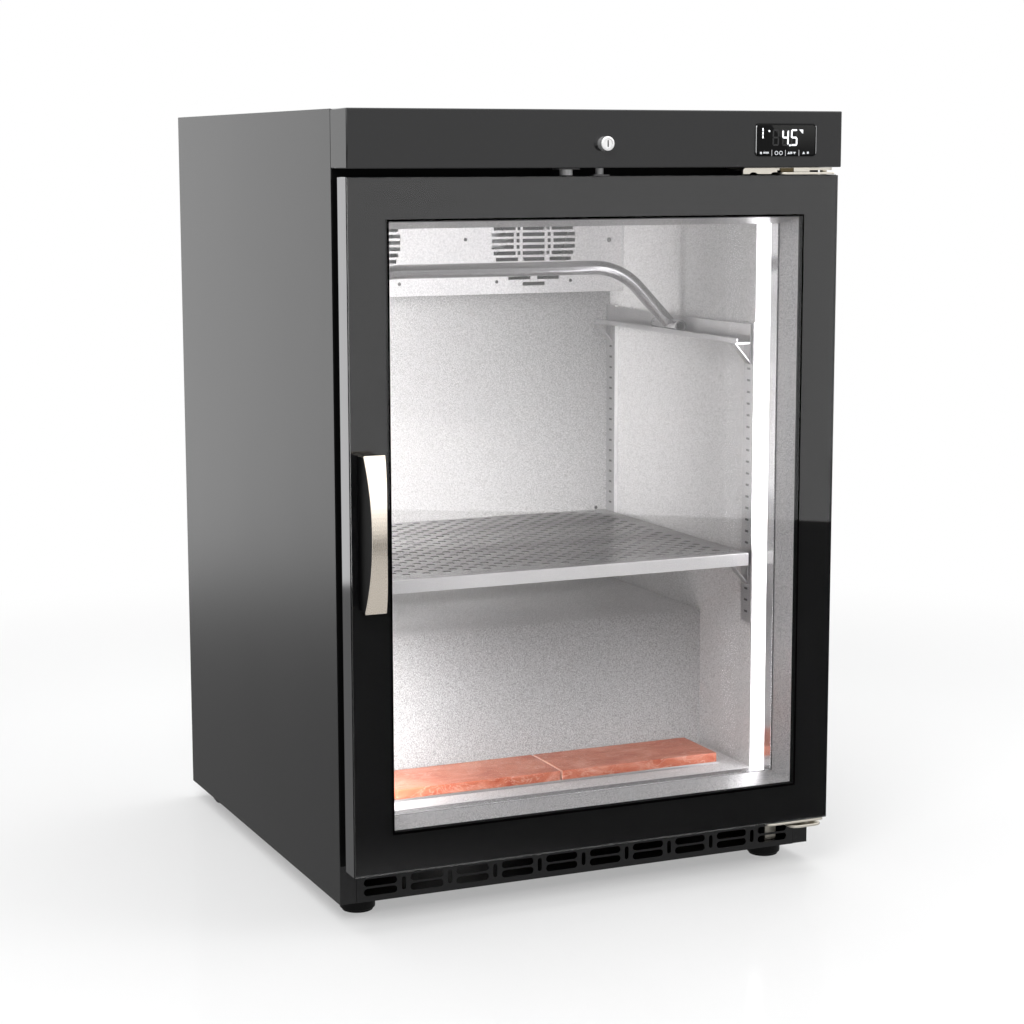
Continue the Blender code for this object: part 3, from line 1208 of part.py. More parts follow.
def add_evaporator_fans():
    for name, side in (("evap_fan_left", -1), ("evap_fan_right", 1)):
        add_fan(name, side * GRILLE_X, fan_front(), UNDER + GRILLE_Z, FAN_RADIUS, FAN_HUB_RADIUS,
                FAN_HUB_LENGTH, FAN_BLADE_CHORD, "black_plastic")


def add_fan_carrier():
    z = UNDER + GRILLE_Z
    y = carrier_front()
    shape = bmesh.new()
    block(shape, (-CARRIER_HALF_LENGTH, y, z - CARRIER_HEIGHT / 2),
          (CARRIER_HALF_LENGTH, y + CARRIER_SHEET, z + CARRIER_HEIGHT / 2))
    carrier = make("evap_fan_carrier", shape, "galvanised")
    motors = bmesh.new()
    for side in (-1, 1):
        rod(motors, (side * GRILLE_X, y + CARRIER_SHEET - WELD, z), FAN_MOTOR_LENGTH, FAN_HUB_RADIUS, "Y")
    join(carrier, motors, "motors")
    legs = bmesh.new()
    for x in (-CARRIER_HALF_LENGTH, -CARRIER_LEG / 2, CARRIER_HALF_LENGTH - CARRIER_LEG):
        block(legs, (x, FRONT + COVER_FRONT + COVER_SHEET + GAP, z - CARRIER_LEG / 2),
              (x + CARRIER_LEG, y + WELD, z + CARRIER_LEG / 2))
    join(carrier, legs, "legs")


def finned(shape, left, right, front, rear, low, high, fins):
    # a comb seen from above: the fins stand forward from a solid spine
    spine = rear - (rear - front) * (1 - FIN_DEPTH_SHARE)
    pitch = (right - left) / fins
    outline = [(left, rear), (right, rear)]
    for fin in range(fins, 0, -1):
        end = left + fin * pitch
        start = end - pitch * FIN_THICKNESS_SHARE
        if fin == 1:
            start = left
        outline += [(end, spine), (end, front), (start, front), (start, spine)]
    outline = [outline[0], outline[1]] + outline[3:-1]
    prism(shape, outline, "Z", low, high)


def add_coil():
    low = UNDER + RECESS_BOTTOM + COIL_BOTTOM_CLEAR
    rear = FRONT + RECESS_BACK - GAP
    shape = bmesh.new()
    finned(shape, -COIL_HALF_LENGTH, COIL_HALF_LENGTH, rear - COIL_DEPTH, rear, low, low + COIL_HEIGHT, COIL_FINS)
    coil = make("evaporator_coil", shape, "fin_metal")
    hole = bmesh.new()
    rod(hole, (LINE_X, rear - LINE_RADIUS - GAP, UNDER + RECESS_BOTTOM + LINE_RISE), COIL_DEPTH,
        LINE_RADIUS + RUN, "Y", end_radius=LINE_RADIUS + RUN)
    cut(coil, hole, "line_hole")


def upright_places():
    front = FRONT + UPRIGHT_FRONT
    rear = FRONT + ROOM_BACK - UPRIGHT_REAR_GAP - UPRIGHT_DEPTH
    return (("front", front), ("rear", rear))


def slot_z(number):
    return UNDER + UPRIGHT_BOTTOM + SLOT_FIRST + number * SLOT_PITCH


def add_upright(name, side, near):
    far = near + UPRIGHT_DEPTH
    wall, face = ROOM_HALF_WIDTH - GAP, UPRIGHT_FACE
    web = face + UPRIGHT_SHEET
    outline = [
        (wall, near), (face, near), (face, far), (wall, far), (wall, far - UPRIGHT_SHEET),
        (web, far - UPRIGHT_SHEET), (web, near + UPRIGHT_SHEET), (wall, near + UPRIGHT_SHEET)]
    shape = bmesh.new()
    prism(shape, [(side * x, y) for x, y in outline], "Z", UNDER + UPRIGHT_BOTTOM, UNDER + UPRIGHT_TOP)
    upright = make(name, shape, "brushed_steel")
    slots = bmesh.new()
    middle = (near + far) / 2
    ends = sorted((side * (face - OVERRUN), side * (web + OVERRUN)))
    for number in range(SLOT_COUNT):
        z = slot_z(number)
        block(slots, (ends[0], middle - SLOT_WIDTH / 2, z - SLOT_HEIGHT / 2),
              (ends[1], middle + SLOT_WIDTH / 2, z + SLOT_HEIGHT / 2))
    cut(upright, slots, "slots")


def clip_triangle(side, top, inset):
    # a bent strap seen from the front: ledge on top, brace below, back against the upright
    face = UPRIGHT_FACE - GAP
    reach, height = CLIP_REACH, CLIP_HEIGHT
    slope = math.hypot(reach, height)
    corner = inset * (slope + height) / reach
    outline = [(face - inset, top - inset), (face - reach + inset * (slope + reach) / height, top - inset),
               (face - inset, top - height + corner)]
    return [(side * x, z) for x, z in outline]


def clip_shape(side, middle, number, name):
    top = slot_z(number) + CLIP_OVER_SLOT
    near, far = middle - CLIP_WIDTH / 2, middle + CLIP_WIDTH / 2
    body = bmesh.new()
    prism(body, clip_triangle(side, top, 0), "Y", near, far)
    clip = make(name, body, "brushed_steel")
    hollow = bmesh.new()
    prism(hollow, clip_triangle(side, top, CLIP_STRAP), "Y", near - OVERRUN, far + OVERRUN)
    cut(clip, hollow, "hollow")
    join(clip, clip_tongue(side, middle, number), "tongue")
    return clip


def clip_tongue(side, middle, number):
    shape = bmesh.new()
    start = UPRIGHT_FACE - GAP - CLIP_STRAP / 2
    ends = sorted((side * start, side * (UPRIGHT_FACE + TONGUE_LENGTH)))
    z = slot_z(number)
    block(shape, (ends[0], middle - TONGUE_WIDTH / 2, z - TONGUE_THICKNESS / 2),
          (ends[1], middle + TONGUE_WIDTH / 2, z + TONGUE_THICKNESS / 2))
    return shape


def add_uprights_and_clips():
    for side, side_name in ((-1, "left"), (1, "right")):
        for end_name, near in upright_places():
            add_upright("upright_%s_%s" % (end_name, side_name), side, near)
            middle = near + UPRIGHT_DEPTH / 2
            clip_shape(side, middle, CLIP_SLOT, "shelf_clip_%s_%s" % (end_name, side_name))


def rail_bottom():
    return slot_z(RAIL_SLOT) + CLIP_OVER_SLOT


def add_rail(name, side):
    outer = UPRIGHT_FACE - GAP
    inner = outer - RAIL_WIDTH
    low = rail_bottom()
    outline = [
        (outer, low), (outer, low + RAIL_FLANGE), (outer - RAIL_SHEET, low + RAIL_FLANGE),
        (outer - RAIL_SHEET, low + RAIL_SHEET), (inner + RAIL_SHEET, low + RAIL_SHEET),
        (inner + RAIL_SHEET, low + RAIL_LIP), (inner, low + RAIL_LIP), (inner, low)]
    shape = bmesh.new()
    prism(shape, [(side * x, z) for x, z in outline], "Y", FRONT + RAIL_FRONT, FRONT + RAIL_REAR)
    rail = make(name, shape, "brushed_steel")
    for end_name, near in upright_places():
        middle = near + UPRIGHT_DEPTH / 2
        if end_name == "front":
            middle = max(middle, FRONT + RAIL_FRONT + CLIP_WIDTH / 2)
        brace = bmesh.new()
        prism(brace, clip_triangle(side, low + WELD, 0), "Y", middle - CLIP_WIDTH / 2 + WELD,
              middle + CLIP_WIDTH / 2 - WELD)
        join(rail, brace, "brace_" + end_name)
        hollow = bmesh.new()
        prism(hollow, clip_triangle(side, low + WELD, CLIP_STRAP), "Y", middle - CLIP_WIDTH, middle + CLIP_WIDTH)
        cut(rail, hollow, "hollow_" + end_name)
        join(rail, clip_tongue(side, middle, RAIL_SLOT), "tongue_" + end_name)


def bar_foot_centre():
    outer = UPRIGHT_FACE - GAP - RAIL_SHEET
    inner = UPRIGHT_FACE - GAP - RAIL_WIDTH + RAIL_SHEET
    return (outer + inner) / 2, rail_bottom() + RAIL_SHEET + GAP + BAR_FOOT_RADIUS


def bar_path():
    end_x, end_z = bar_foot_centre()
    top = UNDER + BAR_HEIGHT
    drop = BAR_BEND_RADIUS * (1 - math.cos(BAR_SLOPE))
    straight = (top - end_z - drop) / math.sin(BAR_SLOPE)
    bend_x = end_x - straight * math.cos(BAR_SLOPE) - BAR_BEND_RADIUS * math.sin(BAR_SLOPE)
    half = []
    for step in range(BAR_BEND_STEPS + 1):
        angle = BAR_SLOPE * step / BAR_BEND_STEPS
        half.append((bend_x + BAR_BEND_RADIUS * math.sin(angle), top - BAR_BEND_RADIUS * (1 - math.cos(angle))))
    half.append((end_x, end_z))
    y = FRONT + BAR_DEPTH
    return [(-x, y, z) for x, z in half[::-1]] + [(x, y, z) for x, z in half]


def add_bar():
    shape = bmesh.new()
    tube(shape, bar_path(), BAR_RADIUS, BAR_SIDES)
    x, z = bar_foot_centre()
    bar = make("hanging_bar", shape, "brushed_steel", origin=(0, FRONT + BAR_DEPTH, z), smooth=True)
    feet = bmesh.new()
    bores = bmesh.new()
    y = FRONT + BAR_DEPTH - BAR_FOOT_FRONT
    length = BAR_FOOT_FRONT + BAR_FOOT_REAR
    for side in (-1, 1):
        rod(feet, (side * x, y, z), length, BAR_FOOT_RADIUS, "Y")
        rod(bores, (side * x, y - OVERRUN, z), BAR_FOOT_BORE_DEPTH + OVERRUN, BAR_FOOT_BORE, "Y")
    join(bar, feet, "feet")
    cut(bar, bores, "bores")


def shelf_bottom():
    return slot_z(CLIP_SLOT) + CLIP_OVER_SLOT + GAP


def add_shelf():
    low = shelf_bottom()
    top = low + SHELF_LIP
    front, rear = FRONT + SHELF_FRONT, FRONT + SHELF_REAR
    half = SHELF_HALF_WIDTH
    shape = bmesh.new()
    block(shape, (-half, front, low), (half, rear, top))
    shelf = make("shelf", shape, "brushed_steel", origin=(0, (front + rear) / 2, low))
    hollow = bmesh.new()
    block(hollow, (-half + SHELF_SHEET, front + SHELF_SHEET, low - OVERRUN),
          (half - SHELF_SHEET, rear - SHELF_SHEET, top - SHELF_SHEET))
    cut(shelf, hollow, "hollow")
    holes = bmesh.new()
    for x, y in shelf_holes(front, rear, half):
        prism(holes, ngon(x, y, SHELF_HOLE_RADIUS, SHELF_HOLE_SIDES), "Z", top - SHELF_SHEET - OVERRUN, top + OVERRUN)
    cut(shelf, holes, "holes")


def shelf_holes(front, rear, half):
    # staggered rows, every other row shifted by half a pitch
    reach = half - SHELF_HOLE_EDGE
    columns = int(2 * reach / SHELF_HOLE_PITCH) + 1
    rows = int((rear - front - 2 * SHELF_HOLE_EDGE) / (SHELF_HOLE_PITCH / 2)) + 1
    first_x = -SHELF_HOLE_PITCH * (columns - 1) / 2
    first_y = (front + rear) / 2 - SHELF_HOLE_PITCH / 2 * (rows - 1) / 2
    for row in range(rows):
        odd = row % 2
        for column in range(columns - odd):
            yield (first_x + SHELF_HOLE_PITCH * (column + odd / 2),
                   first_y + row * SHELF_HOLE_PITCH / 2)


def add_lamp(name, side):
    wall = ROOM_HALF_WIDTH - GAP
    face = wall - LAMP_PROUD
    near, far = FRONT + LAMP_FRONT, FRONT + LAMP_FRONT + LAMP_WIDTH
    outline = [(wall, near), (face + LAMP_CHAMFER, near), (face, near + LAMP_CHAMFER),
               (face, far - LAMP_CHAMFER), (face + LAMP_CHAMFER, far), (wall, far)]
    shape = bmesh.new()
    prism(shape, [(side * x, y) for x, y in outline], "Z", UNDER + ROOM_FLOOR + GAP, UNDER + LAMP_TOP)
    make(name, shape, "lamp_lens")


def tray_bottom():
    return UNDER + ROOM_FLOOR + GAP


def add_salt():
    low = tray_bottom()
    front, rear = FRONT + TRAY_FRONT, FRONT + TRAY_FRONT + TRAY_DEPTH
    half = TRAY_HALF_WIDTH
    shape = bmesh.new()
    block(shape, (-half, front, low), (half, rear, low + TRAY_RIM))
    tray = make("salt_tray", shape, "brushed_steel", origin=(0, (front + rear) / 2, low))
    hollow = bmesh.new()
    block(hollow, (-half + TRAY_SHEET, front + TRAY_SHEET, low + TRAY_SHEET),
          (half - TRAY_SHEET, rear - TRAY_SHEET, low + TRAY_RIM + OVERRUN))
    cut(tray, hollow, "hollow")
    y = front + TRAY_SHEET + GAP
    z = low + TRAY_SHEET + GAP
    for name, left in (
            ("salt_block_left", BLOCK_SPLIT_X - BLOCK_SPACE / 2 - BLOCK_LENGTH),
            ("salt_block_right", BLOCK_SPLIT_X + BLOCK_SPACE / 2)):
        shape = bmesh.new()
        block(shape, (left, y, z), (left + BLOCK_LENGTH, y + BLOCK_DEPTH, z + BLOCK_HEIGHT))
        salt = make(name, shape, "salt", origin=(left + BLOCK_LENGTH / 2, y + BLOCK_DEPTH / 2, z))
        bevel = salt.modifiers.new("edges", "BEVEL")
        bevel.width = BLOCK_EDGE
        bevel.segments = 1


def add_compressor():
    x, y = COMPRESSOR_X, FRONT + COMPRESSOR_DEPTH
    base = PAN_TOP + GAP + COMPRESSOR_LIFT
    profile = [(0, base), (COMPRESSOR_RADIUS, base), (COMPRESSOR_RADIUS, base + COMPRESSOR_WALL_HEIGHT)]
    for ring in range(1, COMPRESSOR_DOME_RINGS + 1):
        angle = math.pi / 2 * ring / COMPRESSOR_DOME_RINGS
        profile.append((COMPRESSOR_RADIUS * math.cos(angle) if ring < COMPRESSOR_DOME_RINGS else 0,
                        base + COMPRESSOR_WALL_HEIGHT + COMPRESSOR_DOME_HEIGHT * math.sin(angle)))
    shape = bmesh.new()
    lathe(shape, profile, (x, y, 0), COMPRESSOR_STEPS)
    compressor = make("compressor", shape, "black_paint", smooth=True)
    plate = bmesh.new()
    block(plate, (x - COMPRESSOR_FOOT_LENGTH / 2, y - COMPRESSOR_FOOT_DEPTH / 2, base - COMPRESSOR_FOOT_SHEET),
          (x + COMPRESSOR_FOOT_LENGTH / 2, y + COMPRESSOR_FOOT_DEPTH / 2, base + WELD))
    join(compressor, plate, "plate")
    grommets = bmesh.new()
    for side in (-1, 1):
        for end in (-1, 1):
            rod(grommets, (x + side * (COMPRESSOR_FOOT_LENGTH / 2 - GROMMET_RADIUS),
                           y + end * (COMPRESSOR_FOOT_DEPTH / 2 - GROMMET_RADIUS), PAN_TOP + GAP),
                COMPRESSOR_LIFT - COMPRESSOR_FOOT_SHEET + WELD, GROMMET_RADIUS - WELD)
    join(compressor, grommets, "grommets")


def add_condenser():
    left, right = CONDENSER_LEFT, CONDENSER_LEFT + CONDENSER_LENGTH
    front, rear = FRONT + CONDENSER_FRONT, FRONT + CONDENSER_FRONT + CONDENSER_DEPTH
    low = PAN_TOP + GAP
    shape = bmesh.new()
    finned(shape, left, right, front, rear, low, low + CONDENSER_HEIGHT, CONDENSER_FINS)
    make("condenser", shape, "fin_metal")


def bay_fan_centre():
    return (CONDENSER_LEFT + CONDENSER_LENGTH / 2, FRONT + CONDENSER_FRONT + CONDENSER_DEPTH + BAY_FAN_GAP,
            PAN_TOP + CONDENSER_HEIGHT / 2)


def add_bay_fan():
    x, y, z = bay_fan_centre()
    add_fan("condenser_fan", x, y, z, BAY_FAN_RADIUS, BAY_FAN_HUB_RADIUS, BAY_FAN_HUB_LENGTH,
            FAN_BLADE_CHORD, "black_plastic")
    motor_y = y + BAY_FAN_HUB_LENGTH + GAP
    shape = bmesh.new()
    rod(shape, (x, motor_y, z), BAY_MOTOR_LENGTH, BAY_MOTOR_RADIUS, "Y")
    motor = make("condenser_fan_motor", shape, "galvanised", smooth=True)
    half = CONDENSER_LENGTH / 2 - BAY_BRACKET_SHEET
    bracket = bmesh.new()
    low, high = z - BAY_BRACKET_HEIGHT / 2, z + BAY_BRACKET_HEIGHT / 2
    start = FRONT + CONDENSER_FRONT + CONDENSER_DEPTH + GAP
    block(bracket, (x - half, motor_y + BAY_MOTOR_LENGTH / 2, low),
          (x + half, motor_y + BAY_MOTOR_LENGTH / 2 + BAY_BRACKET_SHEET, high))
    join(motor, bracket, "bracket")
    arms = bmesh.new()
    for side in (-1, 1):
        ends = sorted((x + side * (half - BAY_BRACKET_SHEET), x + side * (half + WELD)))
        block(arms, (ends[0], start, low + WELD),
              (ends[1], motor_y + BAY_MOTOR_LENGTH / 2 + BAY_BRACKET_SHEET - WELD, high - WELD))
    join(motor, arms, "arms")


def bent_path(corners):
    # corners rounded with a short arc each
    path = [Vector(corners[0])]
    for before, corner, after in zip(corners, corners[1:], corners[2:]):
        corner = Vector(corner)
        start = corner + (Vector(before) - corner).normalized() * LINE_BEND_RADIUS
        end = corner + (Vector(after) - corner).normalized() * LINE_BEND_RADIUS
        for step in range(LINE_BEND_STEPS + 1):
            share = step / LINE_BEND_STEPS
            path.append(start * (1 - share) ** 2 + corner * 2 * share * (1 - share) + end * share ** 2)
    path.append(Vector(corners[-1]))
    return path


def add_suction_line():
    z = UNDER + RECESS_BOTTOM + LINE_RISE
    down = BACK_PANEL_FRONT - GAP - LINE_CHANNEL / 2
    dome_top = PAN_TOP + GAP + COMPRESSOR_LIFT + COMPRESSOR_WALL_HEIGHT + COMPRESSOR_DOME_HEIGHT
    turn = UNDER + LINE_BAY_TURN
    corners = [
        (LINE_X, FRONT + RECESS_BACK - LINE_RADIUS, z), (LINE_X, down, z), (LINE_X, down, turn),
        (COMPRESSOR_X, down, turn), (COMPRESSOR_X, FRONT + COMPRESSOR_DEPTH, turn),
        (COMPRESSOR_X, FRONT + COMPRESSOR_DEPTH, dome_top + GAP)]
    shape = bmesh.new()
    tube(shape, bent_path(corners), LINE_RADIUS, LINE_SIDES)
    make("suction_line", shape, "copper", smooth=True)


def build():
    clear_scene()
    add_casing()
    add_back_panel()
    add_rear_cover()
    add_inlet()
    add_base_pan()
    add_feet()
    add_liner()
    add_foam()
    add_front_frame()
    add_plinth()
    add_header()
    add_controller()
    add_lock()
    add_lock_bolt()
    add_switch()
    add_top_bracket()
    add_bottom_bracket()
    add_door()
    add_evaporator_cover()
    add_evaporator_fans()
    add_fan_carrier()
    add_coil()
    add_uprights_and_clips()
    add_rail("hanger_rail_left", -1)
    add_rail("hanger_rail_right", 1)
    add_bar()
    add_shelf()
    add_lamp("led_lamp_left", -1)
    add_lamp("led_lamp_right", 1)
    add_salt()
    add_compressor()
    add_condenser()
    add_bay_fan()
    add_suction_line()


build()
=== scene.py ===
import json
import math

import bmesh
import bpy
from mathutils import Matrix, Vector, noise


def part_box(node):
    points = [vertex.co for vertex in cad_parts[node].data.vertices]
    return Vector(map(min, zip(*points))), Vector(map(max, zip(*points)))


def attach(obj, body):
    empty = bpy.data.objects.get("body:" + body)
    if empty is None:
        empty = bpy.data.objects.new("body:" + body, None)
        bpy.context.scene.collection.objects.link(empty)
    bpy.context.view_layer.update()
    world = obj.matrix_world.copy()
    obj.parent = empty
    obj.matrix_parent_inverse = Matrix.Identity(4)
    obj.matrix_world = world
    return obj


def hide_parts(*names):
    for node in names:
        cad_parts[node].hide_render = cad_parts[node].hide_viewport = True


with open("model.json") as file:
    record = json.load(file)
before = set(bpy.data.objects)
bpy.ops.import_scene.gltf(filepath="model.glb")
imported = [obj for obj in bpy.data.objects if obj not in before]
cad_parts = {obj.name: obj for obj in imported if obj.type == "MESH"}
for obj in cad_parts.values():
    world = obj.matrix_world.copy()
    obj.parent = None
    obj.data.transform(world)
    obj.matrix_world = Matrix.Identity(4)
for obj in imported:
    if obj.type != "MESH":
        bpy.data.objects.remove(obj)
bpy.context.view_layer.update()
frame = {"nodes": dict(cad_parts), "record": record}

# The looks of an undercounter dry aging cabinet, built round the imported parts.
# Sizes are metres. Pieces are drawn from the door's face, the middle of the body
# and its underside, and are then moved to where the frame has them.

place = Vector((0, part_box("glass_front")[0].y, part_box("outer_casing")[0].z))
mm = 0.001


def inMm(**sizes):
    # lengths and places that are given in millimetres
    return {key: tuple(part * mm for part in size) if isinstance(size, tuple) else size * mm
            for key, size in sizes.items()}


def bodyOf(node):
    return next(name for name, nodes in frame["record"]["behaviour"]["bodies"].items() if node in nodes)


def drawnBox(node):
    # a node's box in the coordinates that pieces are drawn in
    return [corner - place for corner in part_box(node)]


# Nodes: what comes in at a socket is another node's output, a number or a colour

def feed(tree, node, sockets):
    for key, value in sockets.items():
        socket = node.inputs[key]
        if isinstance(value, bpy.types.NodeSocket):
            tree.links.new(value, socket)
        else:
            socket.default_value = (*value, 1) if socket.type == "RGBA" else value


def addNode(tree, kind, sockets=None, **settings):
    node = tree.nodes.new("ShaderNode" + kind)
    for key, value in settings.items():
        setattr(node, key, value)
    feed(tree, node, sockets or {})
    return node


def calc(tree, operation, *values, clamp=False):
    return addNode(tree, "Math", dict(enumerate(values)), operation=operation, use_clamp=clamp).outputs[0]


def ranged(tree, value, start, end, low=0.0, high=1.0, **settings):
    return addNode(tree, "MapRange", {"Value": value, "From Min": start, "From Max": end, "To Min": low,
                                      "To Max": high}, **settings).outputs[0]


def mixed(tree, share, first, second):
    return addNode(tree, "Mix", {0: share, 2: first, 3: second}).outputs[0]


def blend(tree, share, first, second):
    return addNode(tree, "Mix", {0: share, 6: first, 7: second}, data_type="RGBA").outputs[2]


def noiseOf(tree, spot, scale, detail=2.0, rough=0.5, warp=0.0, output="Fac"):
    return addNode(tree, "TexNoise", {"Vector": spot, "Scale": scale, "Detail": detail, "Roughness": rough,
                                      "Distortion": warp}).outputs[output]


def axesOf(tree, vector):
    return addNode(tree, "SeparateXYZ", {"Vector": vector}).outputs


def rampOf(tree, value, stops):
    ramp = addNode(tree, "ValToRGB", {"Fac": value})
    elements = ramp.color_ramp.elements
    while len(elements) < len(stops):
        elements.new(1.0)
    for element, (position, colour) in zip(elements, stops):
        element.position = position
        element.color = (*colour, 1)
    return ramp.outputs[0]


# Shader groups: patterns that several finishes share

def newGroup(name, numbers):
    # takes a place and its own numbers, gives a mask and a height
    group = bpy.data.node_groups.new(name, "ShaderNodeTree")
    group.interface.new_socket(name="Vector", in_out="INPUT", socket_type="NodeSocketVector")
    for label, value in numbers.items():
        socket = group.interface.new_socket(name=label, in_out="INPUT", socket_type="NodeSocketFloat")
        socket.default_value = value
    for label in ("Mask", "Height"):
        group.interface.new_socket(name=label, in_out="OUTPUT", socket_type="NodeSocketFloat")
    return group, group.nodes.new("NodeGroupInput").outputs, group.nodes.new("NodeGroupOutput")


def makeGrainGroup():
    group, given, out = newGroup("fineGrain", {"Fine Scale": 900.0, "Broad Scale": 9.0, "Broad Share": 0.4})
    fine = noiseOf(group, given["Vector"], given["Fine Scale"], 3.0)
    broad = noiseOf(group, given["Vector"], given["Broad Scale"], 4.0)
    feed(group, out, {"Mask": mixed(group, given["Broad Share"], fine, broad), "Height": fine})
    return group


def makeStreakGroup():
    group, given, out = newGroup("brushedStreaks", {"Line Scale": 700.0, "Contrast": 1.0})
    lines = noiseOf(group, given["Vector"], given["Line Scale"], 5.0, 0.7)
    cloud = noiseOf(group, given["Vector"], 14.0, 3.0)
    spread = calc(group, "SUBTRACT", calc(group, "ADD", lines, cloud), 1.0)
    mask = calc(group, "ADD", calc(group, "MULTIPLY", spread, given["Contrast"]), 0.5, clamp=True)
    feed(group, out, {"Mask": mask, "Height": lines})
    return group


def makePebbleGroup():
    group, given, out = newGroup("embossedPebble", {"Scale": 420.0, "Warp": 0.0012})
    bend = noiseOf(group, given["Vector"], 260.0, output="Color")
    centred = addNode(group, "VectorMath", {0: bend, 1: (0.5, 0.5, 0.5)}, operation="SUBTRACT").outputs[0]
    sized = addNode(group, "VectorMath", {0: centred, "Scale": given["Warp"]}, operation="SCALE").outputs[0]
    warped = addNode(group, "VectorMath", {0: given["Vector"], 1: sized}, operation="ADD").outputs[0]
    cells = addNode(group, "TexVoronoi", {"Vector": warped, "Scale": given["Scale"], "Smoothness": 0.6},
                    feature="SMOOTH_F1").outputs["Distance"]
    height = mixed(group, 0.55, cells, noiseOf(group, given["Vector"], given["Scale"], 4.0))
    feed(group, out, {"Mask": ranged(group, height, 0.3, 0.62), "Height": height})
    return group


def rayMasks(tree):
    # straight: seen by the camera, panes between don't count; mirrored: seen in a reflection
    path = addNode(tree, "LightPath").outputs
    clean = calc(tree, "LESS_THAN", path["Diffuse Depth"], 0.5)
    through = calc(tree, "MULTIPLY", path["Is Transmission Ray"], clean)
    bounced = calc(tree, "GREATER_THAN", path["Glossy Depth"], 0.5)
    unbounced = calc(tree, "LESS_THAN", path["Glossy Depth"], 0.5)
    straight = calc(tree, "MAXIMUM", path["Is Camera Ray"], calc(tree, "MULTIPLY", through, unbounced))
    mirrored = calc(tree, "MAXIMUM", path["Is Glossy Ray"], calc(tree, "MULTIPLY", through, bounced))
    return straight, mirrored


grainGroup = makeGrainGroup()
streakGroup = makeStreakGroup()
pebbleGroup = makePebbleGroup()
print("shader groups made")

# Finishes: the colour where the pattern's mask is low and the shade where it is high,
# the roughness likewise, the strength and depth of the bumps, and the pattern


def grain(fine, broad, share):
    return grainGroup, {"Fine Scale": fine, "Broad Scale": broad, "Broad Share": share}, (1.0, 1.0, 1.0)


def streaks(lines, contrast, scale):
    return streakGroup, {"Line Scale": lines, "Contrast": contrast}, scale


def pebble(scale, warp):
    return pebbleGroup, {"Scale": scale, "Warp": warp}, (1.0, 1.0, 1.0)


def look(color, shade, rough, bump, pattern, metal=0.0, spec=0.5):
    return dict(color=color, shade=shade, rough=rough, bump=bump, pattern=pattern, metal=metal, spec=spec)


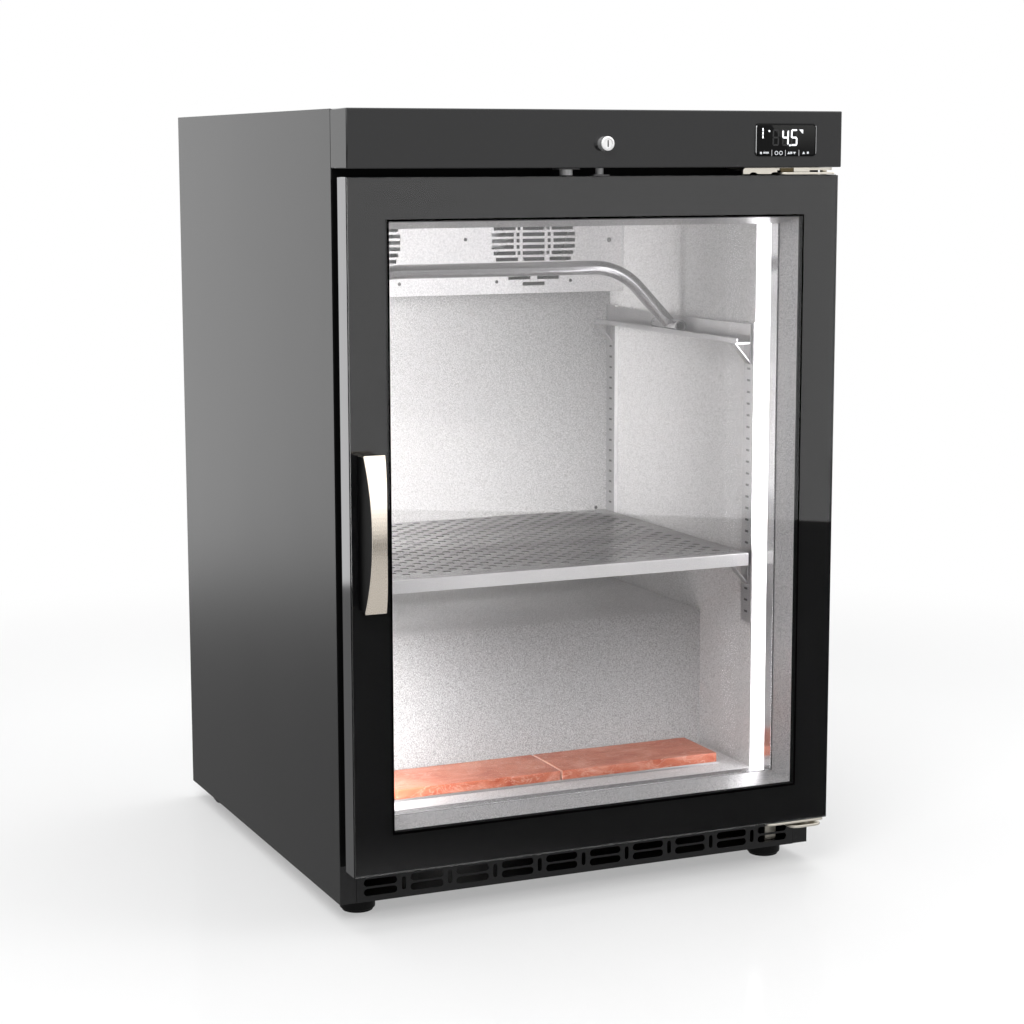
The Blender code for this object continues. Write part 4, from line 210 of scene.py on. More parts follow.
surfaceLooks = {
    "blackPaint": look((0.0105, 0.0105, 0.011), (0.014, 0.014, 0.0145), (0.19, 0.25), (0.06, 0.00006),
                       grain(1400, 5.0, 0.7)),
    "headerPaint": look((0.0105, 0.0105, 0.011), (0.013, 0.013, 0.0135), (0.05, 0.08), (0.02, 0.00003),
                        grain(1400, 5.0, 0.7)),
    "lineBlack": look((0.0006, 0.0006, 0.0006), (0.001, 0.001, 0.001), (0.85, 0.95), (0.02, 0.00002),
                      grain(900, 60, 0.5), spec=0.0),
    "blackBorder": look((0.004, 0.004, 0.0042), (0.0055, 0.0055, 0.0058), (0.5, 0.6), (0.01, 0.00002),
                        grain(300, 7.0, 0.6), spec=0.08),
    "handleBlack": look((0.0008, 0.0008, 0.0009), (0.0014, 0.0014, 0.0015), (0.36, 0.44), (0.08, 0.00005),
                        grain(1500, 30, 0.5), spec=0.05),
    "blackFrame": look((0.006, 0.006, 0.0065), (0.0095, 0.0095, 0.01), (0.34, 0.44), (0.12, 0.00008),
                       grain(1500, 12, 0.4), spec=0.35),
    "mouthBlack": look((0.0018, 0.0018, 0.0019), (0.003, 0.003, 0.0031), (0.46, 0.56), (0.06, 0.00005),
                       grain(1500, 12, 0.4), spec=0.08),
    "blackPlastic": look((0.012, 0.012, 0.012), (0.022, 0.022, 0.023), (0.42, 0.56), (0.25, 0.0001),
                         grain(2200, 40, 0.3)),
    "blackRubber": look((0.014, 0.014, 0.014), (0.026, 0.026, 0.026), (0.62, 0.78), (0.3, 0.0001),
                        grain(1700, 60, 0.4)),
    "footBlack": look((0.003, 0.003, 0.0031), (0.005, 0.005, 0.0052), (0.4, 0.52), (0.1, 0.00006),
                      grain(1500, 60, 0.4), spec=0.12),
    "satinAluminium": look((0.32, 0.32, 0.325), (0.285, 0.285, 0.29), (0.035, 0.06), (0.01, 0.00002),
                           streaks(1500, 1.4, (1.0, 1.0, 0.02)), metal=1.0),
    "silverFrame": look((0.72, 0.71, 0.71), (0.36, 0.355, 0.36), (0.3, 0.46), (0.5, 0.00018),
                        pebble(900, 0.0006), metal=0.55),
    "silverEdge": look((0.86, 0.86, 0.87), (0.76, 0.76, 0.77), (0.1, 0.16), (0.05, 0.00005),
                       pebble(900, 0.0006), metal=0.95),
    "brushedSteel": look((0.64, 0.63, 0.63), (0.53, 0.525, 0.53), (0.24, 0.36), (0.1, 0.00005),
                         streaks(1300, 1.4, (0.03, 1.0, 1.0)), metal=1.0),
    "tubeSteel": look((0.43, 0.425, 0.43), (0.36, 0.355, 0.36), (0.18, 0.25), (0.06, 0.00003),
                      streaks(1600, 1.2, (0.05, 1.0, 1.0)), metal=0.92),
    "coverSteel": look((0.86, 0.85, 0.855), (0.66, 0.65, 0.655), (0.34, 0.48), (0.3, 0.0002),
                       pebble(520, 0.001), metal=0.4),
    "railSteel": look((0.58, 0.57, 0.575), (0.46, 0.455, 0.46), (0.26, 0.38), (0.08, 0.00004),
                      streaks(1200, 1.3, (1.0, 0.04, 0.04)), metal=0.85),
    "liner": look((0.87, 0.862, 0.862), (0.43, 0.422, 0.418), (0.36, 0.52), (0.8, 0.00036),
                  pebble(820, 0.0008), metal=0.25),
    # pale satin steel; on the front faces of the shelf's lip and the uprights it is a painted highlight
    "lipSteel": look((0.93, 0.925, 0.925), (0.88, 0.875, 0.875), (0.36, 0.46), (0.06, 0.00004),
                     streaks(1100, 1.2, (0.03, 1.0, 1.0)), metal=0.2),
    "screwSteel": look((0.16, 0.155, 0.155), (0.1, 0.1, 0.1), (0.34, 0.46), (0.08, 0.00004),
                       grain(900, 120, 0.5), metal=0.7),
    "greyPlastic": look((0.24, 0.235, 0.235), (0.19, 0.185, 0.185), (0.4, 0.52), (0.12, 0.00006),
                        grain(1500, 90, 0.4)),
    "lockSide": look((0.9, 0.9, 0.905), (0.82, 0.82, 0.825), (0.18, 0.26), (0.02, 0.00002),
                     grain(1500, 90, 0.6), metal=0.8),
    # a darker copy of the silver edge, for the door's up-facing sill: painted shade
    "sillSteelPaintedShade": look((0.47, 0.47, 0.475), (0.38, 0.38, 0.385), (0.2, 0.28), (0.1, 0.00006),
                      pebble(900, 0.0006), metal=0.9),
    "lockFace": look((0.95, 0.945, 0.945), (0.9, 0.895, 0.895), (0.36, 0.44), (0.03, 0.00002),
                     grain(1800, 150, 0.5), metal=0.25),
    "shelfSteel": look((0.35, 0.345, 0.345), (0.27, 0.265, 0.265), (0.26, 0.4), (0.12, 0.00006),
                       streaks(1100, 1.6, (0.03, 1.0, 1.0)), metal=0.75),
    "galvanised": look((0.5, 0.51, 0.52), (0.34, 0.35, 0.36), (0.3, 0.5), (0.06, 0.00008), pebble(90, 0.004),
                       metal=0.9),
    "zinc": look((0.78, 0.74, 0.66), (0.66, 0.62, 0.54), (0.26, 0.4), (0.12, 0.00005), grain(900, 60, 0.5),
                 metal=0.9),
    # chrome, also the painted highlight lines on the sides of the display's bezel
    "chrome": look((0.8, 0.8, 0.81), (0.7, 0.7, 0.71), (0.06, 0.13), (0.02, 0.00002), grain(1200, 90, 0.6),
                   metal=1.0),
    "champagne": look((0.86, 0.78, 0.68), (0.8, 0.72, 0.62), (0.24, 0.3), (0.04, 0.00003),
                      streaks(1500, 1.1, (1.0, 1.0, 0.03)), metal=1.0),
    "bronzeCap": look((0.11, 0.085, 0.045), (0.075, 0.058, 0.032), (0.22, 0.34), (0.05, 0.00003),
                      grain(900, 120, 0.5), metal=0.9),
    # near black for the screws' crosses and the key slot's walls: painted shade in recesses
    "holePaintedShade": look((0.004, 0.004, 0.004), (0.007, 0.007, 0.007), (0.5, 0.7), (0.1, 0.00005),
                     grain(900, 120, 0.5)),
    "screen": look((0.0016, 0.0016, 0.0018), (0.0026, 0.0026, 0.0028), (0.05, 0.09), (0.01, 0.00002),
                   grain(300, 60, 0.8), spec=0.12),
    "finMetal": look((0.56, 0.57, 0.58), (0.44, 0.45, 0.46), (0.32, 0.45), (0.1, 0.00005),
                     streaks(900, 1.2, (1.0, 1.0, 0.05)), metal=1.0),
    "copper": look((0.72, 0.36, 0.2), (0.5, 0.24, 0.13), (0.24, 0.42), (0.06, 0.00005), grain(500, 35, 0.7),
                   metal=1.0),
    "foam": look((0.6, 0.52, 0.34), (0.46, 0.38, 0.22), (0.8, 0.95), (0.6, 0.0006), pebble(240, 0.002)),
    "fanPlastic": look((0.02, 0.021, 0.022), (0.036, 0.037, 0.038), (0.36, 0.5), (0.15, 0.00008),
                       grain(1300, 50, 0.4)),
}
materials = {}


def principled(material):
    return next(node for node in material.node_tree.nodes if node.type == "BSDF_PRINCIPLED")


def newMaterial(name):
    material = bpy.data.materials.new(name)
    material.use_nodes = True
    tree = material.node_tree
    return material, tree, principled(material), addNode(tree, "TexCoord").outputs["Object"]


def surface(name):
    # a finish with its pattern in colour, roughness and bump
    if name in materials:
        return materials[name]
    material, tree, shader, coords = newMaterial(name)
    own = surfaceLooks[name]
    material.diffuse_color = (*own["color"], 1)
    group, values, scale = own["pattern"]
    mapping = addNode(tree, "Mapping", {"Vector": coords, "Scale": scale})
    pattern = addNode(tree, "Group", node_tree=group)
    feed(tree, pattern, {"Vector": mapping.outputs[0], **values})
    mask, height = pattern.outputs["Mask"], pattern.outputs["Height"]
    strength, distance = own["bump"]
    bump = addNode(tree, "Bump", {"Height": height, "Strength": strength, "Distance": distance})
    feed(tree, shader, {"Metallic": own["metal"], "Specular IOR Level": own["spec"],
                        "Base Color": blend(tree, mask, own["color"], own["shade"]),
                        "Roughness": ranged(tree, mask, 0.0, 1.0, *own["rough"]), "Normal": bump.outputs[0]})
    materials[name] = material
    return material


glassLook = dict(color=(0.995, 0.992, 0.993), shade=(0.975, 0.972, 0.973), smear=(5.0, 3.0),
                 rough=(0.55, 1.0, 0.0, 0.012), index=1.46)


def makeGlass():
    # clear pane: light that only casts shadows goes straight through
    material, tree, shader, coords = newMaterial("paneGlass")
    smear = noiseOf(tree, coords, *glassLook["smear"])
    feed(tree, shader, {"Transmission Weight": 1.0, "IOR": glassLook["index"],
                        "Base Color": blend(tree, smear, glassLook["color"], glassLook["shade"]),
                        "Roughness": ranged(tree, smear, *glassLook["rough"])})
    clear = addNode(tree, "BsdfTransparent").outputs[0]
    shadow = addNode(tree, "LightPath").outputs["Is Shadow Ray"]
    both = addNode(tree, "MixShader", {0: shadow, 1: shader.outputs[0], 2: clear})
    output = next(node for node in tree.nodes if node.type == "OUTPUT_MATERIAL")
    feed(tree, output, {"Surface": both.outputs[0]})
    return material


# strength of the right and left strip at heights above the floor:
# dark at the shelf, so that the step stays in shade
lampLook = dict(color=(0.99, 0.985, 1.0), edge=(0.93, 0.925, 0.95), strength=20.0, dot=0.0083, seen=1.6,
                levels=((0.262, 0.30, 0.70), (0.275, 0.0, 0.0), (0.372, 0.0, 0.0), (0.40, 0.31, 0.02)))


def makeLens():
    # milky lens with the light sources behind it as a faint row of brighter spots
    material, tree, shader, coords = newMaterial("lampLens")
    rows = addNode(tree, "TexWave", {"Vector": coords, "Scale": 1 / lampLook["dot"] / 20 * math.pi},
                   bands_direction="Z").outputs["Fac"]
    spots = calc(tree, "MULTIPLY", rows, noiseOf(tree, coords, 30.0))
    colour = blend(tree, spots, lampLook["edge"], lampLook["color"])
    axes = axesOf(tree, coords)
    stops = [(height, (right, left, 0)) for height, right, left in lampLook["levels"]]
    sides = addNode(tree, "SeparateColor", {"Color": rampOf(tree, axes["Z"], stops)}).outputs
    share = mixed(tree, ranged(tree, axes["X"], -0.01, 0.01), sides["Green"], sides["Red"])
    power = calc(tree, "MULTIPLY", share, lampLook["strength"])
    straight = rayMasks(tree)[0]
    feed(tree, shader, {"Roughness": 0.3, "Base Color": colour, "Emission Color": colour,
                        "Emission Strength": mixed(tree, straight, power, lampLook["seen"])})
    return material


def glow(name, color, strength):
    # lit or unlit marks of the display
    material, tree, shader, coords = newMaterial(name)
    colour = blend(tree, noiseOf(tree, coords, 900.0, 1.0), [0.86 * part for part in color], color)
    feed(tree, shader, {"Roughness": 0.4, "Base Color": colour, "Emission Color": colour,
                        "Emission Strength": strength})
    return material


# the painted reflection on the display window: a corner of its slanting edge, its softness, the heights it
# fades between, its slope and its colour
windowReflectionLook = dict(inMm(corner=(203.9, 872.2), soft=0.8, fade=(842.5, 870.5)), slope=1.2,
                  color=(0.034, 0.034, 0.033))


def makeWindowWithPaintedReflection():
    # smoked window with a painted reflection: a paler field to the right of a slanting edge, strongest at the
    # top
    material = surface("screen").copy()
    material.name = "displayWindowPaintedReflection"
    tree, shader = material.node_tree, principled(material)
    under = shader.inputs["Base Color"].links[0].from_socket
    axes = axesOf(tree, addNode(tree, "TexCoord").outputs["Object"])
    (x, z), slope, soft = windowReflectionLook["corner"], windowReflectionLook["slope"], windowReflectionLook["soft"]
    across = calc(tree, "MULTIPLY_ADD", axes["X"], slope, -slope * x - z)
    edge = ranged(tree, calc(tree, "ADD", across, axes["Z"]), -soft, soft)
    # share of the painted reflection: right of the edge, fading out downwards
    share = calc(tree, "MULTIPLY", edge, ranged(tree, axes["Z"], *windowReflectionLook["fade"], 0.10))
    feed(tree, shader, {"Base Color": blend(tree, share, under, windowReflectionLook["color"])})
    return material


# noises are scale, detail, roughness and warp; reaches are from where to where, and the share there
saltLook = dict(body=((0.36, (0.48, 0.10, 0.045)), (0.5, (0.62, 0.19, 0.11)), (0.68, (0.80, 0.37, 0.27))),
                stretch=(0.6, 1.0, 1.3), turn=(0.0, 0.0, 0.5), clouds=(26.0, 6.0, 0.62, 0.9),
                veins=(46.0, 5.0, 0.55, 1.6), vein=(0.86, 0.55, 0.45), veinReach=(0.0, 0.022, 0.6, 0.0),
                dust=(0.42, 0.20, 0.15), topReach=(0.6, 0.95, 0.0, 0.32), joint=(0.90, 0.62, 0.52),
                jointReach=(0.0012, 0.0018, 0.8, 0.0), pits=(380.0, 6.0), bump=(0.45, 0.0006),
                rough=(0.34, 0.52), inside=0.12, depths=(0.012, 0.004, 0.002))


def makeSalt():
    # rock salt: cloudy orange pink with pale veins, light goes a little way in
    material, tree, shader, coords = newMaterial("rockSalt")
    spot = addNode(tree, "Mapping", {"Vector": coords, "Scale": saltLook["stretch"],
                                     "Rotation": saltLook["turn"]}).outputs[0]
    cloud = noiseOf(tree, spot, *saltLook["clouds"])
    veins = calc(tree, "SUBTRACT", noiseOf(tree, spot, *saltLook["veins"]), 0.5)
    near = ranged(tree, calc(tree, "ABSOLUTE", veins), *saltLook["veinReach"])
    colour = blend(tree, near, rampOf(tree, cloud, saltLook["body"]), saltLook["vein"])
    # dull upper side, and pale worn ends where the two blocks meet
    upward = axesOf(tree, addNode(tree, "NewGeometry").outputs["Normal"])["Z"]
    colour = blend(tree, ranged(tree, upward, *saltLook["topReach"]), colour, saltLook["dust"])
    joint = (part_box("salt_block_left")[1].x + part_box("salt_block_right")[0].x) / 2
    gap = calc(tree, "ABSOLUTE", calc(tree, "SUBTRACT", axesOf(tree, coords)["X"], joint))
    colour = blend(tree, ranged(tree, gap, *saltLook["jointReach"]), colour, saltLook["joint"])
    strength, distance = saltLook["bump"]
    bump = addNode(tree, "Bump", {"Height": noiseOf(tree, coords, *saltLook["pits"]), "Strength": strength,
                                  "Distance": distance})
    feed(tree, shader, {"Subsurface Weight": saltLook["inside"], "Subsurface Radius": saltLook["depths"],
                        "Base Color": colour, "Normal": bump.outputs[0],
                        "Roughness": ranged(tree, cloud, 0.0, 1.0, *saltLook["rough"])})
    return material


paneGlass, lampLens, rockSalt = makeGlass(), makeLens(), makeSalt()
print("finishes ready")

# Tools for making pieces

finishing = dict(smooth=35.0, flat=3.0, broad=6.0, joined=0.00001, welded=0.000001, coplanar=1.0)


def meshOf(name, shape):
    mesh = bpy.data.meshes.new(name)
    shape.to_mesh(mesh)
    shape.free()
    return mesh


def placed(name, data):
    # a new object in the scene
    item = bpy.data.objects.new(name, data)
    bpy.context.scene.collection.objects.link(item)
    return item


def smoothFlags(shape, degrees):
    # curved and rounded faces are smooth; a broad flat one beside a narrow round keeps its own normal
    low, high = math.radians(finishing["flat"]), math.radians(degrees)
    areas = {face: face.calc_area() for face in shape.faces}
    flags = []
    for face in shape.faces:
        around = [areas[other] for edge in face.edges if len(edge.link_faces) == 2
                  and low < edge.calc_face_angle(0) < high for other in edge.link_faces if other != face]
        flags.append(not around or areas[face] < finishing["broad"] * max(around))
    return flags


def finishPiece(name, shape, finishes, node, smooth=finishing["smooth"], shift=True, extra=False):
    # turns a bmesh into a piece that rides with a node: in its place, or as an extra beside it
    if shift:
        bmesh.ops.translate(shape, verts=shape.verts, vec=place)
    flags = smoothFlags(shape, smooth)
    mesh = meshOf(name, shape)
    for finish in finishes if isinstance(finishes, list) else [finishes]:
        mesh.materials.append(surface(finish) if isinstance(finish, str) else finish)
    mesh.set_sharp_from_angle(angle=math.radians(smooth))
    mesh.polygons.foreach_set("use_smooth", flags)
    piece = placed(name, mesh)
    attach(piece, bodyOf(node))
    if not extra:
        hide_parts(node)


def paint(shape, rule):
    # gives each face the finish that the rule finds from its normal and its middle
    for face in shape.faces:
        face.material_index = int(rule(face.normal, face.calc_center_median()))


def copyOf(node):
    # the frame's own mesh with its loose triangles joined and flat faces whole again
    shape = bmesh.new()
    shape.from_mesh(frame["nodes"][node].data)
    bmesh.ops.remove_doubles(shape, verts=shape.verts, dist=finishing["joined"])
    bmesh.ops.dissolve_limit(shape, angle_limit=math.radians(finishing["coplanar"]), verts=shape.verts,
                             edges=shape.edges)
    paint(shape, lambda normal, middle: 0)
    return shape


def softenEdges(shape, width, least=40.0, segments=2, keep=None):
    edges = [edge for edge in shape.edges if len(edge.link_faces) == 2
             and edge.calc_face_angle(0) > math.radians(least) and (keep is None or keep(edge))]
    if edges:
        bmesh.ops.bevel(shape, geom=edges, offset=width, offset_type="OFFSET", segments=segments, profile=0.5,
                        affect="EDGES", clamp_overlap=True, material=-1)


def refined(node, finish, width=0.0, smooth=finishing["smooth"], least=40.0):
    # the frame's shape with its edges rounded and its own finish
    shape = copyOf(node)
    if width:
        softenEdges(shape, width, least)
    finishPiece(node + "_look", shape, finish, node, smooth, shift=False)


def block(shape, low, high):
    made = bmesh.ops.create_cube(shape, size=1.0)["verts"]
    bmesh.ops.scale(shape, vec=Vector(high) - Vector(low), verts=made)
    bmesh.ops.translate(shape, vec=(Vector(high) + Vector(low)) / 2, verts=made)
    return made


alongY = Matrix.Rotation(-math.pi / 2, 4, "X")


def rod(shape, start, length, radius, turned=Matrix.Identity(4), sides=40):
    # a round bar that begins at start and runs up, or along Y
    made = bmesh.ops.create_cone(shape, cap_ends=True, segments=sides, radius1=radius, radius2=radius,
                                 depth=length)["verts"]
    bmesh.ops.translate(shape, vec=(0, 0, length / 2), verts=made)
    bmesh.ops.transform(shape, matrix=Matrix.Translation(start) @ turned, verts=made)


def spun(shape, profile, placing, steps):
    # turns a profile of radius and height into a closed round form, put where the matrix says
    before = set(shape.verts)
    rows = [shape.verts.new((radius, 0, height)) for radius, height in profile]
    edges = [shape.edges.new(pair) for pair in zip(rows, rows[1:])]
    bmesh.ops.spin(shape, geom=rows + edges, cent=(0, 0, 0), axis=(0, 0, 1), angle=2 * math.pi, steps=steps,
                   use_merge=True)
    made = [point for point in shape.verts if point not in before]
    bmesh.ops.remove_doubles(shape, verts=made, dist=finishing["welded"])
    made = [point for point in made if point.is_valid]
    bmesh.ops.recalc_face_normals(shape, faces=list({face for point in made for face in point.link_faces}))
    bmesh.ops.transform(shape, matrix=placing, verts=made)


def outlinePrism(shape, points, axis, low, high):
    # a closed outline pushed along an axis: Y outlines hold x and z, Z ones x and y, X ones y and z
    def spot(first, second, depth):
        return {"X": (depth, first, second), "Y": (first, depth, second), "Z": (first, second, depth)}[axis]
    face = shape.faces.new([shape.verts.new(spot(first, second, low)) for first, second in points])
    made = bmesh.ops.extrude_face_region(shape, geom=[face])["geom"]
    moved = [item for item in made if isinstance(item, bmesh.types.BMVert)]
    bmesh.ops.translate(shape, vec=Vector(spot(0, 0, high - low)), verts=moved)
    faces = {near for point in moved + list(face.verts) for near in point.link_faces}
    bmesh.ops.recalc_face_normals(shape, faces=list(faces))


def roundedOutline(left, right, low, high, radius, steps=6):
    points = []
    for x, z, start in ((right - radius, high - radius, 0), (left + radius, high - radius, 90),
                        (left + radius, low + radius, 180), (right - radius, low + radius, 270)):
        for step in range(steps + 1):
            angle = math.radians(start + 90 * step / steps)
            points.append((x + radius * math.cos(angle), z + radius * math.sin(angle)))
    return points


def slotOutline(x, z, length, height):
    # a slot with half round ends, its longer side along whichever of the two is larger
    radius = min(length, height) / 2 * 0.999
    return roundedOutline(x - length / 2, x + length / 2, z - height / 2, z + height / 2, radius, 8)


def circleOutline(x, y, radius, sides, turn=0.0):
    angles = [turn + 2 * math.pi * step / sides for step in range(sides)]
    return [(x + radius * math.cos(angle), y + radius * math.sin(angle)) for angle in angles]


def carve(shape, cutter):
    # cuts one bmesh out of another and gives back the result
    objects = [placed("carving", meshOf("carving", part)) for part in (shape, cutter)]
    tool = objects[0].modifiers.new("cut", "BOOLEAN")
    tool.operation = "DIFFERENCE"
    tool.object = objects[1]
    bpy.context.view_layer.update()
    result = bmesh.new()
    result.from_object(objects[0], bpy.context.evaluated_depsgraph_get())
    for item in objects:
        mesh = item.data
        bpy.data.objects.remove(item)
        bpy.data.meshes.remove(mesh)
    bmesh.ops.remove_doubles(result, verts=result.verts, dist=finishing["welded"])
    return result


def joinInto(shape, part):
    mesh = meshOf("part", part)
    shape.from_mesh(mesh)
    bpy.data.meshes.remove(mesh)


# a screw's dome as shares of its radius, and the cross in it as shares of the dome's height
screw = dict(height=0.42, dome=((0, 1), (0.35, 0.96), (0.7, 0.74), (0.93, 0.36), (1, 0)), sunk=0.4 * mm,
             arm=0.55, thin=0.22, cross=(0.80, 1.03), steps=24)


def addScrews(name, node, spots, radius, finish, inFront=False):
    # domed heads with their rims on the surface, and a dark cross just proud of each dome: painted shade of
    # the cross's recess
    top = radius * screw["height"]
    profile = [(radius * across, top * up) for across, up in screw["dome"]]
    profile += [(radius, -screw["sunk"]), (0, -screw["sunk"])]
    turned = alongY @ Matrix.Rotation(math.pi, 4, "X") if inFront else alongY
    shape = bmesh.new()
    for spot in spots:
        spun(shape, profile, Matrix.Translation(spot) @ turned, screw["steps"])
    heads = len(shape.faces)
    arm, (low, high) = radius * screw["arm"], screw["cross"]
    for spot in spots:
        for wide, tall in ((arm, arm * screw["thin"]), (arm * screw["thin"], arm)):
            made = block(shape, (-wide, -tall, top * low), (wide, tall, top * high))
            bmesh.ops.transform(shape, matrix=Matrix.Translation(spot) @ turned, verts=made)
    shape.faces.ensure_lookup_table()
    for face in shape.faces[heads:]:
        face.material_index = 1
    finishPiece(name, shape, [finish, "holePaintedShade"], node, extra=True)


def onFront(edge, y):
    return all(abs(point.co.y - y) < 0.1 * mm for point in edge.verts)


# Casing, header and plinth, and what lies behind the walls


def dressCasing():
    refined("outer_casing", "blackPaint", 0.6 * mm, least=60)
    refined("header_panel", "headerPaint", smooth=50)
    refined("back_panel", "galvanised", 0.3 * mm)
    # the base pan is black: painted shade for what shows through the plinth's slots
    refined("base_pan", "blackFrame", 0.3 * mm)
    refined("foam_body", "foam")
    refined("front_frame", "mouthBlack", 0.5 * mm)
    refined("rear_grille_cover", "galvanised")
    for node, inset, columns, rows in (("back_panel", 9 * mm, 4, 5), ("rear_grille_cover", 8 * mm, 4, 2)):
        low, high = drawnBox(node)
        face = min(high.y, drawnBox("outer_casing")[1].y - 1.4 * mm)
        wide, tall = (high.x - low.x - 2 * inset) / (columns - 1), (high.z - low.z - 2 * inset) / (rows - 1)
        spots = [(low.x + inset + wide * column, face, low.z + inset + tall * row)
                 for column in range(columns) for row in range(rows)
                 if column in (0, columns - 1) or row in (0, rows - 1)]
        addScrews(node + "_screws", node, spots, 3.0 * mm, "zinc")


plinth = dict(inMm(pitch=55.5, slot=(39.5, 8.4), rows=(10.8, 21.6), bar=(5.0, 15.0), barZ=16.2, over=2,
                   corner=(0.3, 30.7)), groups=10)


def dressPlinth():
    low, high = drawnBox("plinth_grille")
    shape, cutter, over, pitch = bmesh.new(), bmesh.new(), plinth["over"], plinth["pitch"]
    block(shape, low, high)
    for group in range(plinth["groups"]):
        x = pitch * (group - (plinth["groups"] - 1) / 2)
        slots = [slotOutline(x, z, *plinth["slot"]) for z in plinth["rows"]]
        if group:
            slots.append(slotOutline(x - pitch / 2, plinth["barZ"], *plinth["bar"]))
        for outline in slots:
            outlinePrism(cutter, outline, "Y", low.y - over, high.y + over)
    bracket = drawnBox("hinge_bracket_bottom")[0]
    gap, rise = plinth["corner"]
    block(cutter, (bracket.x - gap, low.y - over, bracket.z + rise),
          (high.x + over, high.y + over, high.z + over))
    finishPiece("plinth_look", carve(shape, cutter), "blackFrame", "plinth_grille")


dressCasing()
dressPlinth()
print("casing dressed")

# Feet

foot = dict(inMm(stem=4.0, worn=0.4, washer=(19.4, 18.2, 19.6), bore=4.1, edge=0.3), steps=64)
# radius and height round the rubber disc, in millimetres, from the middle of its sole to the stem
footProfile = ((0, 0), (16.4, 0), (17.3, 0.35), (17.6, 1.0), (17.7, 2.4), (19.1, 3.0), (19.8, 3.7),
               (20.0, 4.8), (20.0, 15.6), (19.7, 16.8), (18.8, 17.6), (17.0, 18.1), (8.5, 18.6), (6.5, 19.1),
               (4.0, 19.5))


def addFoot(node):
    low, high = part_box(node)
    stem, worn, top = foot["stem"], foot["worn"], high.z
    placing = Matrix.Translation(((low.x + high.x) / 2, (low.y + high.y) / 2, 0))
    shape = bmesh.new()
    spun(shape, [(radius * mm, height * mm) for radius, height in footProfile]
         + [(stem, top - worn), (stem - worn, top), (0, top)], placing, foot["steps"])
    finishPiece(node + "_look", shape, "footBlack", node, 50, shift=False)
    (ring, under, over), bore, edge = foot["washer"], foot["bore"], foot["edge"]
    shape = bmesh.new()
    spun(shape, [(bore, under), (ring - edge, under), (ring, under + edge), (ring, over - edge),
                 (ring - edge, over), (bore, over), (bore, under)], placing, foot["steps"])
    finishPiece(node + "_washer", shape, "lipSteel", node, 50, shift=False, extra=True)


for side in ("left", "right"):
    for end in ("front", "rear"):
        addFoot("foot_" + end + "_" + side)

# Display: places and sizes of its marks are millimetres

display = dict(inMm(middle=(224.0, 834.2), width=78.0, height=36.5, corner=5.0, rim=1.8, face=-2.2,
                    lensFace=-2.15, mark=0.12, sunk=0.05, stroke=1.9, digit=(6.6, 16.4), digits=836.8,
                    inset=3.5, gap=0.15), lean=0.02, row=819.8)
segmentPlaces = {"a": (0, 1, 1), "b": (0.5, 0.5, 0), "c": (0.5, -0.5, 0), "d": (0, -1, 1),
                 "e": (-0.5, -0.5, 0), "f": (-0.5, 0.5, 0), "g": (0, 0, 1)}
litSegments = {222.8: "bcfg", 234.0: "acdfg"}
dimSegments = {210.4: "abcdefg", 222.8: "ade", 234.0: "be"}


def framePrism(shape, inset, corner, near, far):
    x, z = display["middle"]
    wide, tall = display["width"] / 2 - inset, display["height"] / 2 - inset
    outlinePrism(shape, roundedOutline(x - wide, x + wide, z - tall, z + tall, corner), "Y", near, far)


def dressController():
    (x, z), rim, corner, inset = display["middle"], display["rim"], display["corner"], display["inset"]
    halfWide, halfHigh = display["width"] / 2, display["height"] / 2
    shape, cutter = bmesh.new(), bmesh.new()
    framePrism(shape, 0, corner, display["face"], -0.3 * mm)
    softenEdges(shape, 0.7 * mm, 60, keep=lambda edge: onFront(edge, display["face"]))
    framePrism(cutter, rim, corner - rim, -4 * mm, -1.2 * mm)
    shape = carve(shape, cutter)
    block(shape, (x - halfWide + inset, -0.3 * mm, z - halfHigh + inset),
          (x + halfWide - inset, drawnBox("controller_case")[1].y, z + halfHigh - inset))
    # front faces take the black screen; the left and right side faces take chrome as painted highlight lines
    paint(shape, lambda normal, middle: middle.y <= 0 and not (abs(normal.x) > 0.25
                                                               and abs(middle.x - x) > halfWide - mm))
    finishPiece("controller_bezel", shape, ["chrome", "screen"], "controller_case", 40)
    shape = bmesh.new()
    framePrism(shape, rim + display["gap"], corner - rim, display["lensFace"], -1.3 * mm)
    softenEdges(shape, 0.3 * mm, 60, keep=lambda edge: onFront(edge, display["lensFace"]))
    finishPiece("controller_window", shape, makeWindowWithPaintedReflection(), "controller_lens", 40)


def addOutline(shape, points):
    # a mark is a skin on the lens
    outlinePrism(shape, [(x * mm, z * mm) for x, z in points], "Y", display["lensFace"] - display["mark"],
                 display["lensFace"] + display["sunk"])


def addBar(shape, left, right, low, high):
    block(shape, (left * mm, display["lensFace"] - display["mark"], low * mm),
          (right * mm, display["lensFace"] + display["sunk"], high * mm))


def addSegments(shape, digits):
    # the bars of seven part digits, leaning a little to the right
    (width, height), z, thick = display["digit"], display["digits"], display["stroke"]
    for x, names in digits.items():
        for across, up, flat in [segmentPlaces[name] for name in names]:
            half = width / 2 + thick * 0.25 if flat else height / 4
            tip = half - thick / 2
            outline = [(-half, 0), (-tip, -thick / 2), (tip, -thick / 2), (half, 0), (tip, thick / 2),
                       (-tip, thick / 2)]
            if not flat:
                outline = [(-second, first) for first, second in outline]
            cx, cz = across * width, up * height / 2
            addOutline(shape, [(x + (cx + a + (cz + b) * display["lean"]) / mm, (z + cz + b) / mm)
                               for a, b in outline])


